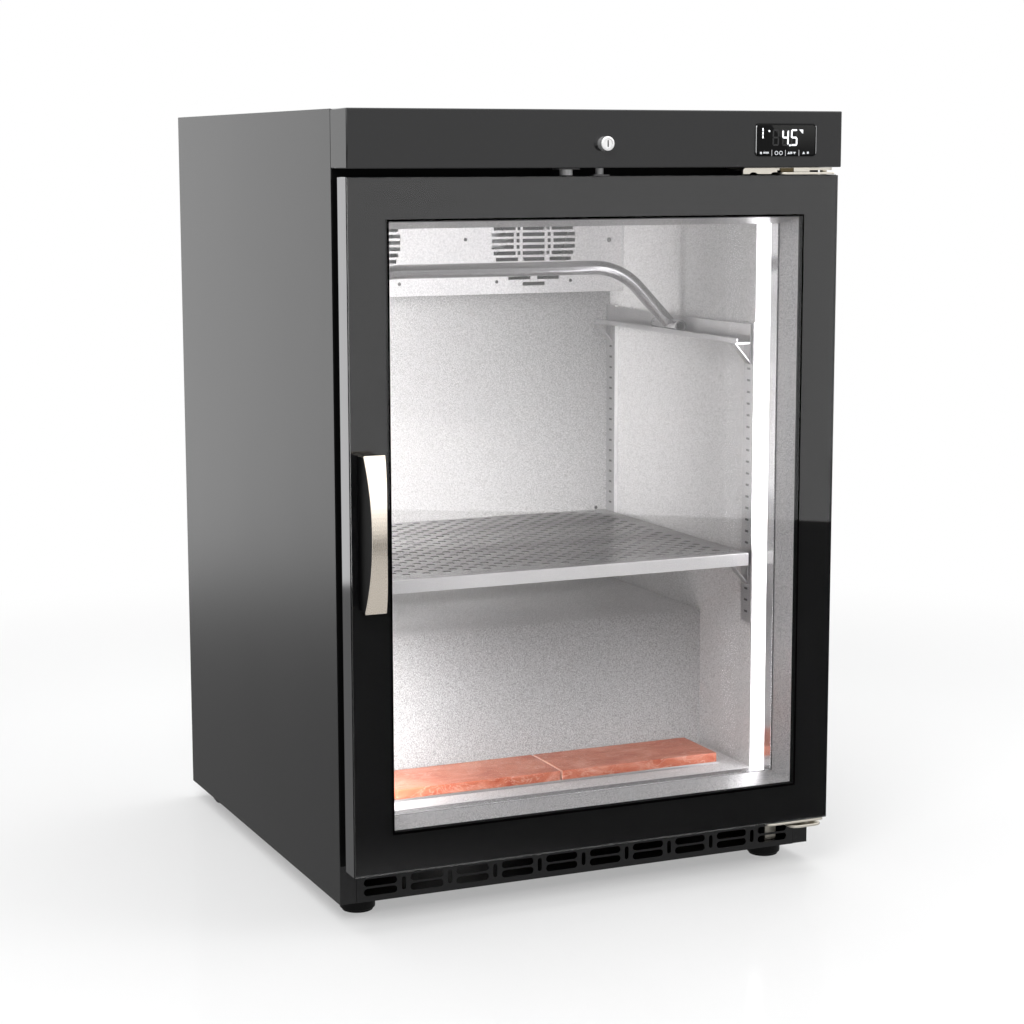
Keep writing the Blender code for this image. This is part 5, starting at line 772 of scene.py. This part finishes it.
def addMarks():
    row = display["row"]
    lit, touch, lines, dim = bmesh.new(), bmesh.new(), bmesh.new(), bmesh.new()
    addSegments(lit, litSegments)
    addOutline(lit, circleOutline(228.7, 828.2, 1.1, 16))
    for top in (847.2, 843.2, 839.2):
        addBar(lit, 193.1, 194.6, top - 3.3, top)
    addOutline(lit, circleOutline(201.9, 844.0, 1.1, 12))
    addOutline(lit, [(240.2, 845.6), (245.4, 845.6), (245.4, 841.0)])
    addBar(touch, 190.4, 192.8, row - 1.2, row + 1.2)
    for start in (194.8, 197.2, 199.6):
        addBar(touch, start, start + 1.7, row - 0.7, row + 1.3)
    for ring in (211.4, 217.2):
        hoop, hole = bmesh.new(), bmesh.new()
        addOutline(hoop, circleOutline(ring, row, 2.3, 20))
        outlinePrism(hole, circleOutline(ring * mm, row * mm, 1.6 * mm, 20), "Y", display["lensFace"] - mm,
                     display["lensFace"] + mm)
        joinInto(touch, carve(hoop, hole))
    for tip, turn in ((227.4, 1), (234.6, -1), (246.6, 1)):
        addOutline(touch, [(tip - 1.9, row - turn * 1.2), (tip + 1.9, row - turn * 1.2),
                           (tip, row + turn * 1.7)][::turn])
    for start, end in ((229.2, 231.8), (250.8, 253.2)):
        addBar(touch, start, end, row - 1.0, row + 1.4)
    for line in (205.5, 223.0, 240.4):
        addBar(lines, line - 0.35, line + 0.35, row - 3.3, row + 3.3)
    addSegments(dim, dimSegments)
    for name, shape, finish in (("display_lit_marks", lit, glow("litMark", (0.95, 0.97, 1.0), 0.9)),
                                ("display_touch_marks", touch, glow("touchMark", (0.70, 0.72, 0.75), 0.36)),
                                ("display_lines", lines, glow("lineMark", (0.40, 0.40, 0.41), 0.5)),
                                ("display_dim_marks", dim, glow("dimMark", (0.0075, 0.0075, 0.008), 0.06))):
        finishPiece(name, shape, finish, "controller_lens", extra=True)


dressController()
addMarks()

# Lock, bolt and door switch

lock = inMm(x=-1.8, z=830.0, radius=7.8, proud=10.5, reach=17.7, bore=5.28, plug=5.2, tail=4.0,
            slot=(1.4, 7.0), slotDepth=4.0, shank=22.5, rack=(1.2, 2.3), lap=0.1)


def dressLock():
    x, z, wide, proud, bore, reach = [lock[key] for key in ("x", "z", "radius", "proud", "bore", "reach")]
    shape = bmesh.new()
    spun(shape, [(bore, -reach), (wide, -reach), (wide, proud - 1.0 * mm),
                 (wide - 0.3 * mm, proud - 0.35 * mm), (wide - 1.0 * mm, proud), (bore + 0.1 * mm, proud),
                 (bore, proud - 0.1 * mm), (bore, -reach)], Matrix.Translation((x, 0, z)) @ alongY, 64)
    bmesh.ops.scale(shape, vec=(1, -1, 1), verts=shape.verts)
    bmesh.ops.recalc_face_normals(shape, faces=shape.faces)
    paint(shape, lambda normal, middle: middle.y < -proud + 0.8 * mm)
    finishPiece("lock_barrel", shape, ["lockSide", "lockFace"], "lock_housing", 40)
    front, rear = [corner.y for corner in drawnBox("lock_cylinder")]
    shape, cutter = bmesh.new(), bmesh.new()
    rod(shape, (x, front, z), reach - front, lock["plug"], alongY, 56)
    softenEdges(shape, 0.4 * mm, 60, keep=lambda edge: onFront(edge, front))
    (wideSlot, tallSlot), deep, lap = lock["slot"], lock["slotDepth"], lock["lap"]
    block(cutter, (x - wideSlot / 2, front - 2 * mm, z - tallSlot / 2),
          (x + wideSlot / 2, front + deep, z + tallSlot / 2))
    shape = carve(shape, cutter)
    rod(shape, (x, reach - lap, z), rear - reach + lap, lock["tail"], alongY, 24)
    # the key slot's walls take painted shade, the front face the satin face finish, the rest chrome
    paint(shape, lambda normal, middle: 1 if abs(middle.x - x) < wideSlot
          and abs(middle.z - z) <= tallSlot / 2 + 0.1 * mm and front < middle.y - 0.05 * mm < front + deep
          else 2 if middle.y < front + 0.5 * mm else 0)
    finishPiece("lock_plug", shape, ["chrome", "holePaintedShade", "lockFace"], "lock_cylinder", 40)


def dressPins():
    # the bolt with the flat rack on it, and the plunger: round, with worn edges
    for node, edge in (("lock_bolt", 0.5 * mm), ("door_switch_plunger", 0.8 * mm)):
        low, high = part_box(node)
        x, y, radius = (low.x + high.x) / 2, (low.y + high.y) / 2, (high.y - low.y) / 2
        length = lock["shank"] if node == "lock_bolt" else high.z - low.z
        shape = bmesh.new()
        rod(shape, (x, y, low.z), length, radius)
        softenEdges(shape, edge, 60)
        if node == "lock_bolt":
            wide, deep = lock["rack"]
            block(shape, (x - wide, y - deep, low.z + length - lock["lap"]), (x + wide, y + deep, high.z))
        finishPiece(node + "_look", shape, "lipSteel", node, 40, shift=False)
    refined("door_switch_body", "greyPlastic", 0.2 * mm)


dressLock()
dressPins()

# Hinges, and the spacer under the upper bracket: a bronze bush and a bright block

spacer = inMm(bush=(219.6, 235.6), stop=(236.2, 257.0), near=1.2, far=2.9, gap=0.4, edge=0.3)


def dressHinges():
    for node in ("hinge_bracket_top", "hinge_bracket_bottom", "door_plate_top", "door_plate_bottom"):
        refined(node, "zinc", 0.4 * mm, smooth=30)
    top = drawnBox("hinge_bracket_top")[1].z - spacer["gap"]
    floor = drawnBox("door_plate_top")[1].z + spacer["gap"]
    for part, finish in (("bush", "bronzeCap"), ("stop", "zinc")):
        left, right = spacer[part]
        shape = bmesh.new()
        block(shape, (left, spacer["near"], floor), (right, spacer["far"], top))
        softenEdges(shape, spacer["edge"], 60)
        finishPiece("hinge_" + part, shape, finish, "hinge_bracket_top", extra=True)


dressHinges()
print("header and hinges dressed")

# Door

doorLook = inMm(facets=(3.6, 32.8), border=46.0, line=2.0, skin=0.04)


def addWindowLine():
    # the printed border ends in a matt black line round the window
    low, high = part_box("door_frame")
    line, skin, face = doorLook["line"], doorLook["skin"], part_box("glass_front")[0].y
    inset = Vector((doorLook["border"], 0, doorLook["border"]))
    low, high = low + inset, high - inset
    shape = bmesh.new()
    for left, right, under, over in ((low.x - line, high.x + line, high.z, high.z + line),
                                     (low.x - line, high.x + line, low.z - line, low.z),
                                     (low.x - line, low.x, low.z, high.z),
                                     (high.x, high.x + line, low.z, high.z)):
        block(shape, (left, face - skin, under), (right, face + skin, over))
    finishPiece("window_line", shape, "lineBlack", "door_frame", shift=False, extra=True)


def dressDoor():
    shape = copyOf("door_frame")
    low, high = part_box("door_frame")
    paint(shape, lambda normal, middle: abs(normal.y) < 0.5 and min(
        abs(middle[axis] - corner[axis]) for axis in (0, 2) for corner in (low, high)) < 0.3 * mm)
    softenEdges(shape, 0.6 * mm, 60)
    finishPiece("door_frame_look", shape, ["blackBorder", "satinAluminium"], "door_frame", 30,
                shift=False)
    shape = copyOf("door_inner_frame")
    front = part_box("door_inner_frame")[0].y
    for depth in doorLook["facets"]:
        bmesh.ops.bisect_plane(shape, geom=list(shape.verts) + list(shape.edges) + list(shape.faces),
                               plane_co=(0, front + depth, 0), plane_no=(0, 1, 0), dist=finishing["joined"])
    softenEdges(shape, 0.4 * mm, 20)
    near, far = doorLook["facets"]
    # the front is black like the border, then the silver facet, then the bright silver edge; where that edge
    # faces up it takes a darker copy of it as painted shade
    paint(shape, lambda normal, middle: (middle.y - front > near) + (middle.y - front > far) * (
        2 if normal.z > 0.5 else 1))
    finishPiece("door_inner_frame_look", shape, ["blackBorder", "silverFrame", "silverEdge", "sillSteelPaintedShade"],
                "door_inner_frame", 30, shift=False)
    refined("glass_front", paneGlass)
    addWindowLine()
    refined("glass_rear", paneGlass)
    refined("door_gasket", "blackRubber", 0.6 * mm)
    refined("strike_plate", "brushedSteel", 0.2 * mm)


handle = dict(inMm(left=-289.8, width=24.0, waist=16.5, length=169.0, bottom=338.0, proud=44.5, endProud=20.5,
                   sheet=1.6, wall=3.0, gap=0.3, over=4.0), steps=40, cap=0.97)


def handleArc(inset):
    # side view of the grip's front: a flat arc through its ends and its middle
    rise = handle["proud"] - handle["endProud"]
    chord = handle["length"] - 2 * inset
    radius = (chord * chord / 4 + rise * rise) / (2 * rise)
    halfAngle = math.asin(chord / 2 / radius)
    depth, middle = inset + radius - handle["proud"], handle["bottom"] + handle["length"] / 2
    angles = [halfAngle * (2 * step / handle["steps"] - 1) for step in range(handle["steps"] + 1)]
    return [(depth - radius * math.cos(angle), middle + radius * math.sin(angle)) for angle in angles]


def waistCutter():
    left, width, bottom, length, over = [handle[key] for key in ("left", "width", "bottom", "length", "over")]
    right, narrow, steps = left + width, width - handle["waist"], handle["steps"]
    edge = [(right - narrow * math.sin(math.pi * step / steps), bottom + length * step / steps)
            for step in range(steps + 1)]
    shape = bmesh.new()
    outline = [(right + over, bottom - over)] + edge + [(right + over, bottom + length + over)]
    outlinePrism(shape, outline, "Y", -handle["proud"] - over, -handle["wall"] - handle["gap"])
    return shape


def dressHandle():
    left, right = handle["left"], handle["left"] + handle["width"]
    gap, sheet, wall = handle["gap"], handle["sheet"], handle["wall"]
    shape = bmesh.new()
    outlinePrism(shape, handleArc(0) + handleArc(sheet)[::-1], "X", left, right)
    shape = carve(shape, waistCutter())
    softenEdges(shape, 0.45 * mm, 55)
    finishPiece("handle_face", shape, "champagne", "handle_cover", 50)
    shape, recess = bmesh.new(), bmesh.new()
    for solid, arc, back, start, end in ((shape, handleArc(sheet + gap), -gap, left, right),
                                         (recess, handleArc(sheet + gap + wall), -gap - wall, left + wall,
                                          right + handle["over"])):
        outlinePrism(solid, [(back, arc[0][1])] + arc + [(back, arc[-1][1])], "X", start, end)
    shape = carve(carve(shape, recess), waistCutter())
    capped = handle["bottom"] + handle["length"] * handle["cap"]
    paint(shape, lambda normal, middle: normal.z > 0.9 and middle.z > capped)
    softenEdges(shape, 0.4 * mm, 60)
    finishPiece("handle_shell", shape, ["handleBlack", "bronzeCap"], "handle_body", 50)


dressDoor()
dressHandle()
print("door dressed")

# Room for the food

cover = inMm(pitch=7.9, tall=4.75, middleZ=709.9, grilleX=121.3, sheet=1.0, over=2, rim=3,
             plug=(229.2, 709.1), screw=2.3)
coverScrews = ((26.0, 712.5), (69.0, 658.0), (173.5, 657.7), (-64.3, 658.1), (-173.5, 657.7))
plugProfile = ((0, 1.1), (2.0, 1.05), (2.9, 0.6), (3.1, 0), (3.1, -0.4), (0, -0.4))
# reach of the outer slots, of the small squares and of the middle slot, by row from the middle
wideRow = ((27.8, 59.0), (19.6, 24.3), 15.7)
coverRows = [wideRow, wideRow, ((25.2, 56.2), (18.5, 22.8), 15.6), ((22.0, 53.2), None, 15.6),
             ((19.5, 49.0), None, 15.6), ((19.5, 43.0), None, 15.6), ((4.6, 36.0), None, None),
             (None, None, 15.5)]


def coverSpans(row):
    outer, square, middle = coverRows[abs(row)]
    spans = [(-middle, middle)] if middle else []
    for pair in (outer, square):
        if pair:
            spans += [(-pair[1], -pair[0]), pair]
    return spans


def dressCover():
    low, high = drawnBox("evaporator_cover")
    sheet, over, half = cover["sheet"], cover["over"], cover["tall"] / 2
    shape, cutter = bmesh.new(), bmesh.new()
    outlinePrism(shape, [(low.y, low.z), (high.y, low.z), (high.y, low.z + sheet),
                         (low.y + sheet, low.z + sheet), (low.y + sheet, high.z), (low.y, high.z)], "X",
                 low.x, high.x)
    softenEdges(shape, 0.35 * mm, 60, keep=lambda edge: abs(edge.verts[0].co.x - edge.verts[1].co.x) > 0.1)
    for centre in (-cover["grilleX"], cover["grilleX"]):
        for row in range(1 - len(coverRows), len(coverRows)):
            z = cover["middleZ"] + row * cover["pitch"]
            if z + half > high.z - cover["rim"]:
                continue
            for left, right in coverSpans(row):
                block(cutter, (centre + left * mm, low.y - over, z - half),
                      (centre + right * mm, low.y + sheet + over, z + half))
    finishPiece("evaporator_cover_look", carve(shape, cutter), "coverSteel", "evaporator_cover",
                30)
    addScrews("cover_screws", "evaporator_cover", [(x * mm, low.y, z * mm) for x, z in coverScrews],
              cover["screw"], "screwSteel", inFront=True)
    shape, (x, z) = bmesh.new(), cover["plug"]
    spun(shape, [(radius * mm, height * mm) for radius, height in plugProfile],
         Matrix.Translation((x, low.y, z)) @ Matrix.Rotation(math.pi / 2, 4, "X"), 32)
    finishPiece("cover_plug", shape, "greyPlastic", "evaporator_cover", extra=True)


shelf = dict(inMm(holeRadius=5.5, rowFirst=129.5, rowPitch=24.64, columnHalf=12.43, sheet=1.2, lipRadius=0.9,
                  over=2, skirt=5), rows=15, columns=18, sides=12)


def shelfHoles():
    # straight rows, with a row of one hole less between each two
    half, columns, places = shelf["columnHalf"], shelf["columns"], []
    for row in range(shelf["rows"]):
        y = shelf["rowFirst"] + shelf["rowPitch"] * row
        places += [(half * (2 * k - columns + 1), y) for k in range(columns)]
        if row < shelf["rows"] - 1:
            places += [(2 * half * (k - columns // 2 + 1), y + shelf["rowPitch"] / 2)
                       for k in range(columns - 1)]
    return places


def dressShelf():
    low, high = drawnBox("shelf")
    sheet, sides, over = shelf["sheet"], shelf["sides"], shelf["over"]
    shape, cutter, holes = bmesh.new(), bmesh.new(), bmesh.new()
    block(shape, low, high)
    softenEdges(shape, shelf["lipRadius"], 60, segments=3,
                keep=lambda edge: max(point.co.z for point in edge.verts) > high.z - mm)
    block(cutter, (low.x + sheet, low.y + sheet, low.z - shelf["skirt"]),
          (high.x - sheet, high.y - sheet, high.z - sheet))
    for x, y in shelfHoles():
        outlinePrism(holes, circleOutline(x, y, shelf["holeRadius"], sides, math.pi / sides), "Z",
                     high.z - sheet - over, high.z + over)
    shape = carve(carve(shape, cutter), holes)
    # the front faces of the lip take the pale steel as a painted highlight
    paint(shape, lambda normal, middle: normal.y < -0.3 and middle.y < low.y + mm)
    finishPiece("shelf_look", shape, ["shelfSteel", "lipSteel"], "shelf", 30)


bar = dict(inMm(radius=8.5, bend=85.0, stub=8.3, bore=5.5, stubFront=27.0, stubRear=38.0, lap=2), slope=46.0,
           bendSteps=16, sides=8)


def dressBar():
    # a bent bar between two lengths of tube that stand in the rails
    low, high = drawnBox("hanging_bar")
    y = low.y + bar["stubFront"]
    endX, endZ = high.x - bar["stub"], low.z + bar["stub"]
    top, bend, slope = high.z - bar["radius"], bar["bend"], math.radians(bar["slope"])
    straight = (top - endZ - bend * (1 - math.cos(slope))) / math.sin(slope)
    bendX = endX - straight * math.cos(slope) - bend * math.sin(slope)
    angles = [slope * step / bar["bendSteps"] for step in range(bar["bendSteps"] + 1)]
    half = [(bendX + bend * math.sin(angle), top - bend * (1 - math.cos(angle))) for angle in angles]
    half.append((endX - bar["lap"] * math.cos(slope), endZ + bar["lap"] * math.sin(slope)))
    curve = bpy.data.curves.new("barLine", "CURVE")
    curve.dimensions = "3D"
    curve.bevel_depth = bar["radius"]
    curve.bevel_resolution = bar["sides"]
    curve.use_fill_caps = True
    line = curve.splines.new("POLY")
    points = [(-x, y, z) for x, z in half[::-1]] + [(x, y, z) for x, z in half]
    line.points.add(len(points) - 1)
    for point, spot in zip(line.points, points):
        point.co = (*spot, 1)
    holder = placed("barLine", curve)
    bpy.context.view_layer.update()
    shape = bmesh.new()
    shape.from_mesh(holder.evaluated_get(bpy.context.evaluated_depsgraph_get()).to_mesh())
    bpy.data.objects.remove(holder)
    bmesh.ops.remove_doubles(shape, verts=shape.verts, dist=finishing["joined"])
    bmesh.ops.recalc_face_normals(shape, faces=shape.faces)
    length = bar["stubFront"] + bar["stubRear"]
    for side in (-1, 1):
        tube, hole = bmesh.new(), bmesh.new()
        rod(tube, (side * endX, y - bar["stubFront"], endZ), length, bar["stub"], alongY, 48)
        rod(hole, (side * endX, y - bar["stubFront"] - mm, endZ), length + 2 * mm, bar["bore"], alongY, 48)
        tube = carve(tube, hole)
        softenEdges(tube, 0.5 * mm, 60)
        joinInto(shape, tube)
    finishPiece("hanging_bar_look", shape, "tubeSteel", "hanging_bar", 40)


salt = dict(inMm(edge=1.4, wave=0.35, skin=0.4), side=1.6, fineness=60, cut=(60, 26, 5))


def addSaltBlock(node):
    # sawn rock salt: worn edges and a slightly uneven skin, never outside the frame's block
    low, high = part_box(node)
    shape = bmesh.new()
    block(shape, low, high)
    softenEdges(shape, salt["edge"], 60, segments=3)
    for axis, count in enumerate(salt["cut"]):
        for step in range(1, count):
            spot, normal = Vector(low), Vector((0, 0, 0))
            spot[axis] = low[axis] + (high[axis] - low[axis]) * step / count
            normal[axis] = 1
            bmesh.ops.bisect_plane(shape, geom=list(shape.verts) + list(shape.edges) + list(shape.faces),
                                   plane_co=spot, plane_no=normal, dist=finishing["joined"])
    middle = (low + high) / 2
    for point in shape.verts:
        share = 0.5 + 0.5 * noise.fractal(point.co * salt["fineness"], 1.0, 2.0, 4)
        depth = salt["wave"] * min(max(share, 0), 1)
        for axis in range(3):
            if min(point.co[axis] - low[axis], high[axis] - point.co[axis]) < salt["skin"]:
                inward = -1 if point.co[axis] > middle[axis] else 1
                point.co[axis] += inward * depth * (salt["side"] if axis < 2 else 1)
    finishPiece(node + "_look", shape, rockSalt, node, 60, shift=False)


upright = inMm(width=8.0, height=2.7, deep=1.0, sheet=1.6, skin=0.15)


def widenSlots(shape, low, high, side):
    # the slots at the frame's own heights, as wide as the clips' tabs leave them
    deep, half, wide = upright["deep"], upright["height"] / 2, upright["width"] / 2
    room = high.x if side == "left" else low.x
    middles = [face.calc_center_median() for face in shape.faces if abs(face.normal.z) > 0.9]
    edges = sorted({round(middle.z, 4) for middle in middles
                    if abs(middle.x - room) < deep and low.z + mm < middle.z < high.z - mm})
    y = (low.y + high.y) / 2
    cutter = bmesh.new()
    for under, over in zip(edges[::2], edges[1::2]):
        z = (under + over) / 2
        block(cutter, (room - deep, y - wide, z - half), (room + deep, y + wide, z + half))
    return carve(shape, cutter)


def addUpright(node, side):
    # the slotted channel, and a dark block inside it as painted shade that shows through its slots
    low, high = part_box(node)
    shape = widenSlots(copyOf(node), low, high, side)
    # the front faces take the pale steel as a painted highlight
    paint(shape, lambda normal, middle: normal.y < -0.9 and middle.y < low.y + mm)
    softenEdges(shape, 0.2 * mm)
    finishPiece(node + "_look", shape, ["railSteel", "lipSteel"], node, shift=False)
    # a dark block inside the channel, behind the slots: painted shade
    sheet, skin = upright["sheet"], upright["skin"]
    left, right = (low.x, high.x - skin) if side == "left" else (low.x + skin, high.x)
    shape = bmesh.new()
    block(shape, (left, low.y + sheet, low.z + mm), (right, high.y - sheet, high.z - mm))
    finishPiece(node + "_painted_shade", shape, "screwSteel", node, shift=False, extra=True)


def dressRoom():
    refined("inner_liner", "liner", smooth=30)
    addScrews("wall_screw", "inner_liner", [(229.8 * mm, 495.8 * mm, 351.0 * mm)], 2.4 * mm, "screwSteel",
              inFront=True)
    dressCover()
    dressShelf()
    dressBar()
    addSaltBlock("salt_block_left")
    addSaltBlock("salt_block_right")
    refined("salt_tray", "brushedSteel", 0.3 * mm)
    for side in ("left", "right"):
        refined("led_lamp_" + side, lampLens, 0.5 * mm)
        refined("hanger_rail_" + side, "railSteel", 0.3 * mm)
        for end in ("front", "rear"):
            addUpright("upright_" + end + "_" + side, side)
            refined("shelf_clip_" + end + "_" + side, "brushedSteel", 0.2 * mm)


dressRoom()
print("room dressed")

# Cooling and machine bay


def dressMachine():
    refined("evaporator_coil", "finMetal")
    refined("evap_fan_carrier", "galvanised", 0.3 * mm)
    for node in ("evap_fan_left", "evap_fan_right", "condenser_fan"):
        refined(node, "fanPlastic", smooth=40)
    refined("compressor", "blackFrame", smooth=50)
    refined("condenser", "finMetal")
    refined("condenser_fan_motor", "galvanised", smooth=40)
    refined("suction_line", "copper", smooth=60)
    refined("mains_inlet", "blackPlastic", 0.3 * mm)


dressMachine()
print("machine dressed")

# Floor, light and camera

# what gloss sees changes at the front, side, lower, facing and upper steps: from where to where by
# direction, and the strength or share before and after
studio = dict(floorSize=9.0, floorColor=(0.52, 0.52, 0.52), cloud=(3.0, 1.02), gloss=(0.015, 0.08), lift=0.38,
              clear=(1.1, 1.9), front=(-0.1400, -0.1388, 0.035, 0.97), frontLean=0.0259,
              lower=(-0.33, -0.28, 1.0, 0.0), frontFloor=0.62, side=(-0.182, -0.178, 0.24, 1.15),
              facing=(-0.1, 0.1), upper=(0.02, 0.40), sky=2.2, ambient=0.42)


def smoothStep(tree, value, start, end, low=0.0, high=1.0):
    return ranged(tree, value, start, end, low, high, interpolation_type="SMOOTHSTEP")


def floorMaterial():
    # matt and pale near the cabinet, clearing into the white behind, and not seen in reflections
    material = bpy.data.materials.new("studioFloor")
    material.use_nodes = True
    tree = material.node_tree
    tree.nodes.clear()
    coords = addNode(tree, "TexCoord").outputs["Object"]
    scale, paler = studio["cloud"]
    colour = blend(tree, noiseOf(tree, coords, scale), studio["floorColor"],
                   [part * paler for part in studio["floorColor"]])

    def shader(kind, **sockets):
        return addNode(tree, kind, sockets).outputs[0]

    def between(share, first, second):
        return addNode(tree, "MixShader", {0: share, 1: first, 2: second}).outputs[0]

    straight, mirrored = rayMasks(tree)
    share, rough = studio["gloss"]
    coat = between(share, shader("BsdfDiffuse", Color=colour), shader("BsdfGlossy", Roughness=rough))
    lift = shader("Emission", Strength=calc(tree, "MULTIPLY", straight, studio["lift"]))
    near = addNode(tree, "AddShader", {0: coat, 1: lift}).outputs[0]
    length = addNode(tree, "VectorMath", {0: coords}, operation="LENGTH").outputs["Value"]
    far = calc(tree, "MULTIPLY", smoothStep(tree, length, *studio["clear"]), straight)
    whole = between(far, near, shader("Emission", Strength=1.0))
    addNode(tree, "OutputMaterial", {"Surface": between(mirrored, whole, shader("BsdfTransparent"))})
    return material


def addFloor():
    shape = bmesh.new()
    bmesh.ops.create_grid(shape, x_segments=2, y_segments=2, size=studio["floorSize"])
    mesh = meshOf("studio_floor", shape)
    mesh.materials.append(floorMaterial())
    floor = placed("studio_floor", mesh)
    floor.visible_glossy = False


def addWorld():
    # white to the camera; gloss sees a bright room above a horizon and a dim one below it
    world = bpy.data.worlds.new("studio")
    bpy.context.scene.world = world
    world.use_nodes = True
    tree = world.node_tree
    tree.nodes.clear()
    axes = axesOf(tree, addNode(tree, "TexCoord").outputs["Generated"])
    leaning = calc(tree, "MULTIPLY_ADD", axes["X"], studio["frontLean"], axes["Z"])
    front = smoothStep(tree, leaning, *studio["front"])
    front = mixed(tree, smoothStep(tree, axes["Z"], *studio["lower"]), front, studio["frontFloor"])
    side = smoothStep(tree, axes["Z"], *studio["side"])
    room = mixed(tree, smoothStep(tree, axes["Y"], *studio["facing"]), front, side)
    glossy = mixed(tree, smoothStep(tree, axes["Z"], *studio["upper"]), room, studio["sky"])
    straight, mirrored = rayMasks(tree)
    whole = mixed(tree, straight, mixed(tree, mirrored, studio["ambient"], glossy), 1.0)
    back = addNode(tree, "Background", {"Strength": whole, "Color": (1, 1, 1)})
    addNode(tree, "OutputWorld", {"Surface": back.outputs[0]})


# spot, aim, width and height, and power; the last two stand in the cabinet's room
lamps = dict(key=((-1.7, -2.3, 2.7), (0, 0, 0.4), (1.8, 1.8), 62),
             fill=((2.4, -1.6, 1.6), (0, 0, 0.4), (1.6, 1.6), 22),
             top=((0.2, 0.4, 3.1), (0, 0, 0.0), (2.4, 2.4), 60),
             roomGlow=((-0.225, 0.31, 0.55), (-0.19, 0.496, 0.54), (0.04, 0.40), 5.2),
             lowerGlow=((-0.235, 0.10, 0.20), (-0.20, 0.335, 0.20), (0.04, 0.16), 0.9))


def addLamp(name, spot, aim, size, power):
    if name.endswith("Glow"):
        spot, aim = Vector(spot) + place, Vector(aim) + place
    data = bpy.data.lights.new(name, "AREA")
    data.shape = "RECTANGLE"
    data.size, data.size_y = size
    data.energy = power
    lamp = placed(name, data)
    lamp.location = spot
    lamp.rotation_mode = "QUATERNION"
    lamp.rotation_quaternion = (Vector(aim) - Vector(spot)).to_track_quat("-Z", "Y")
    lamp.visible_glossy = lamp.visible_camera = lamp.visible_transmission = False


cameraLook = dict(spot=(-1.12697, -2.29524, 0.81476), yaw=0.41654, pitch=-0.15049, roll=-0.0019, lens=82.07,
                  sensor=36.0)


def addCamera():
    yaw, pitch, roll = cameraLook["yaw"], cameraLook["pitch"], cameraLook["roll"]
    ahead = Vector((math.sin(yaw) * math.cos(pitch), math.cos(yaw) * math.cos(pitch), math.sin(pitch)))
    level = ahead.cross(Vector((0, 0, 1))).normalized()
    upward = level.cross(ahead)
    right = level * math.cos(roll) + upward * math.sin(roll)
    up = upward * math.cos(roll) - level * math.sin(roll)
    data = bpy.data.cameras.new("camera")
    data.lens = cameraLook["lens"]
    data.sensor_width = cameraLook["sensor"]
    data.sensor_fit = "HORIZONTAL"
    camera = placed("camera", data)
    spot = Vector(cameraLook["spot"]) + place
    camera.matrix_world = Matrix((*zip(right, up, -ahead, spot), (0, 0, 0, 1)))
    bpy.context.scene.camera = camera


addFloor()
addWorld()
for name, settings in lamps.items():
    addLamp(name, *settings)
addCamera()
bpy.context.scene.view_settings.view_transform = "Standard"
print("studio ready")
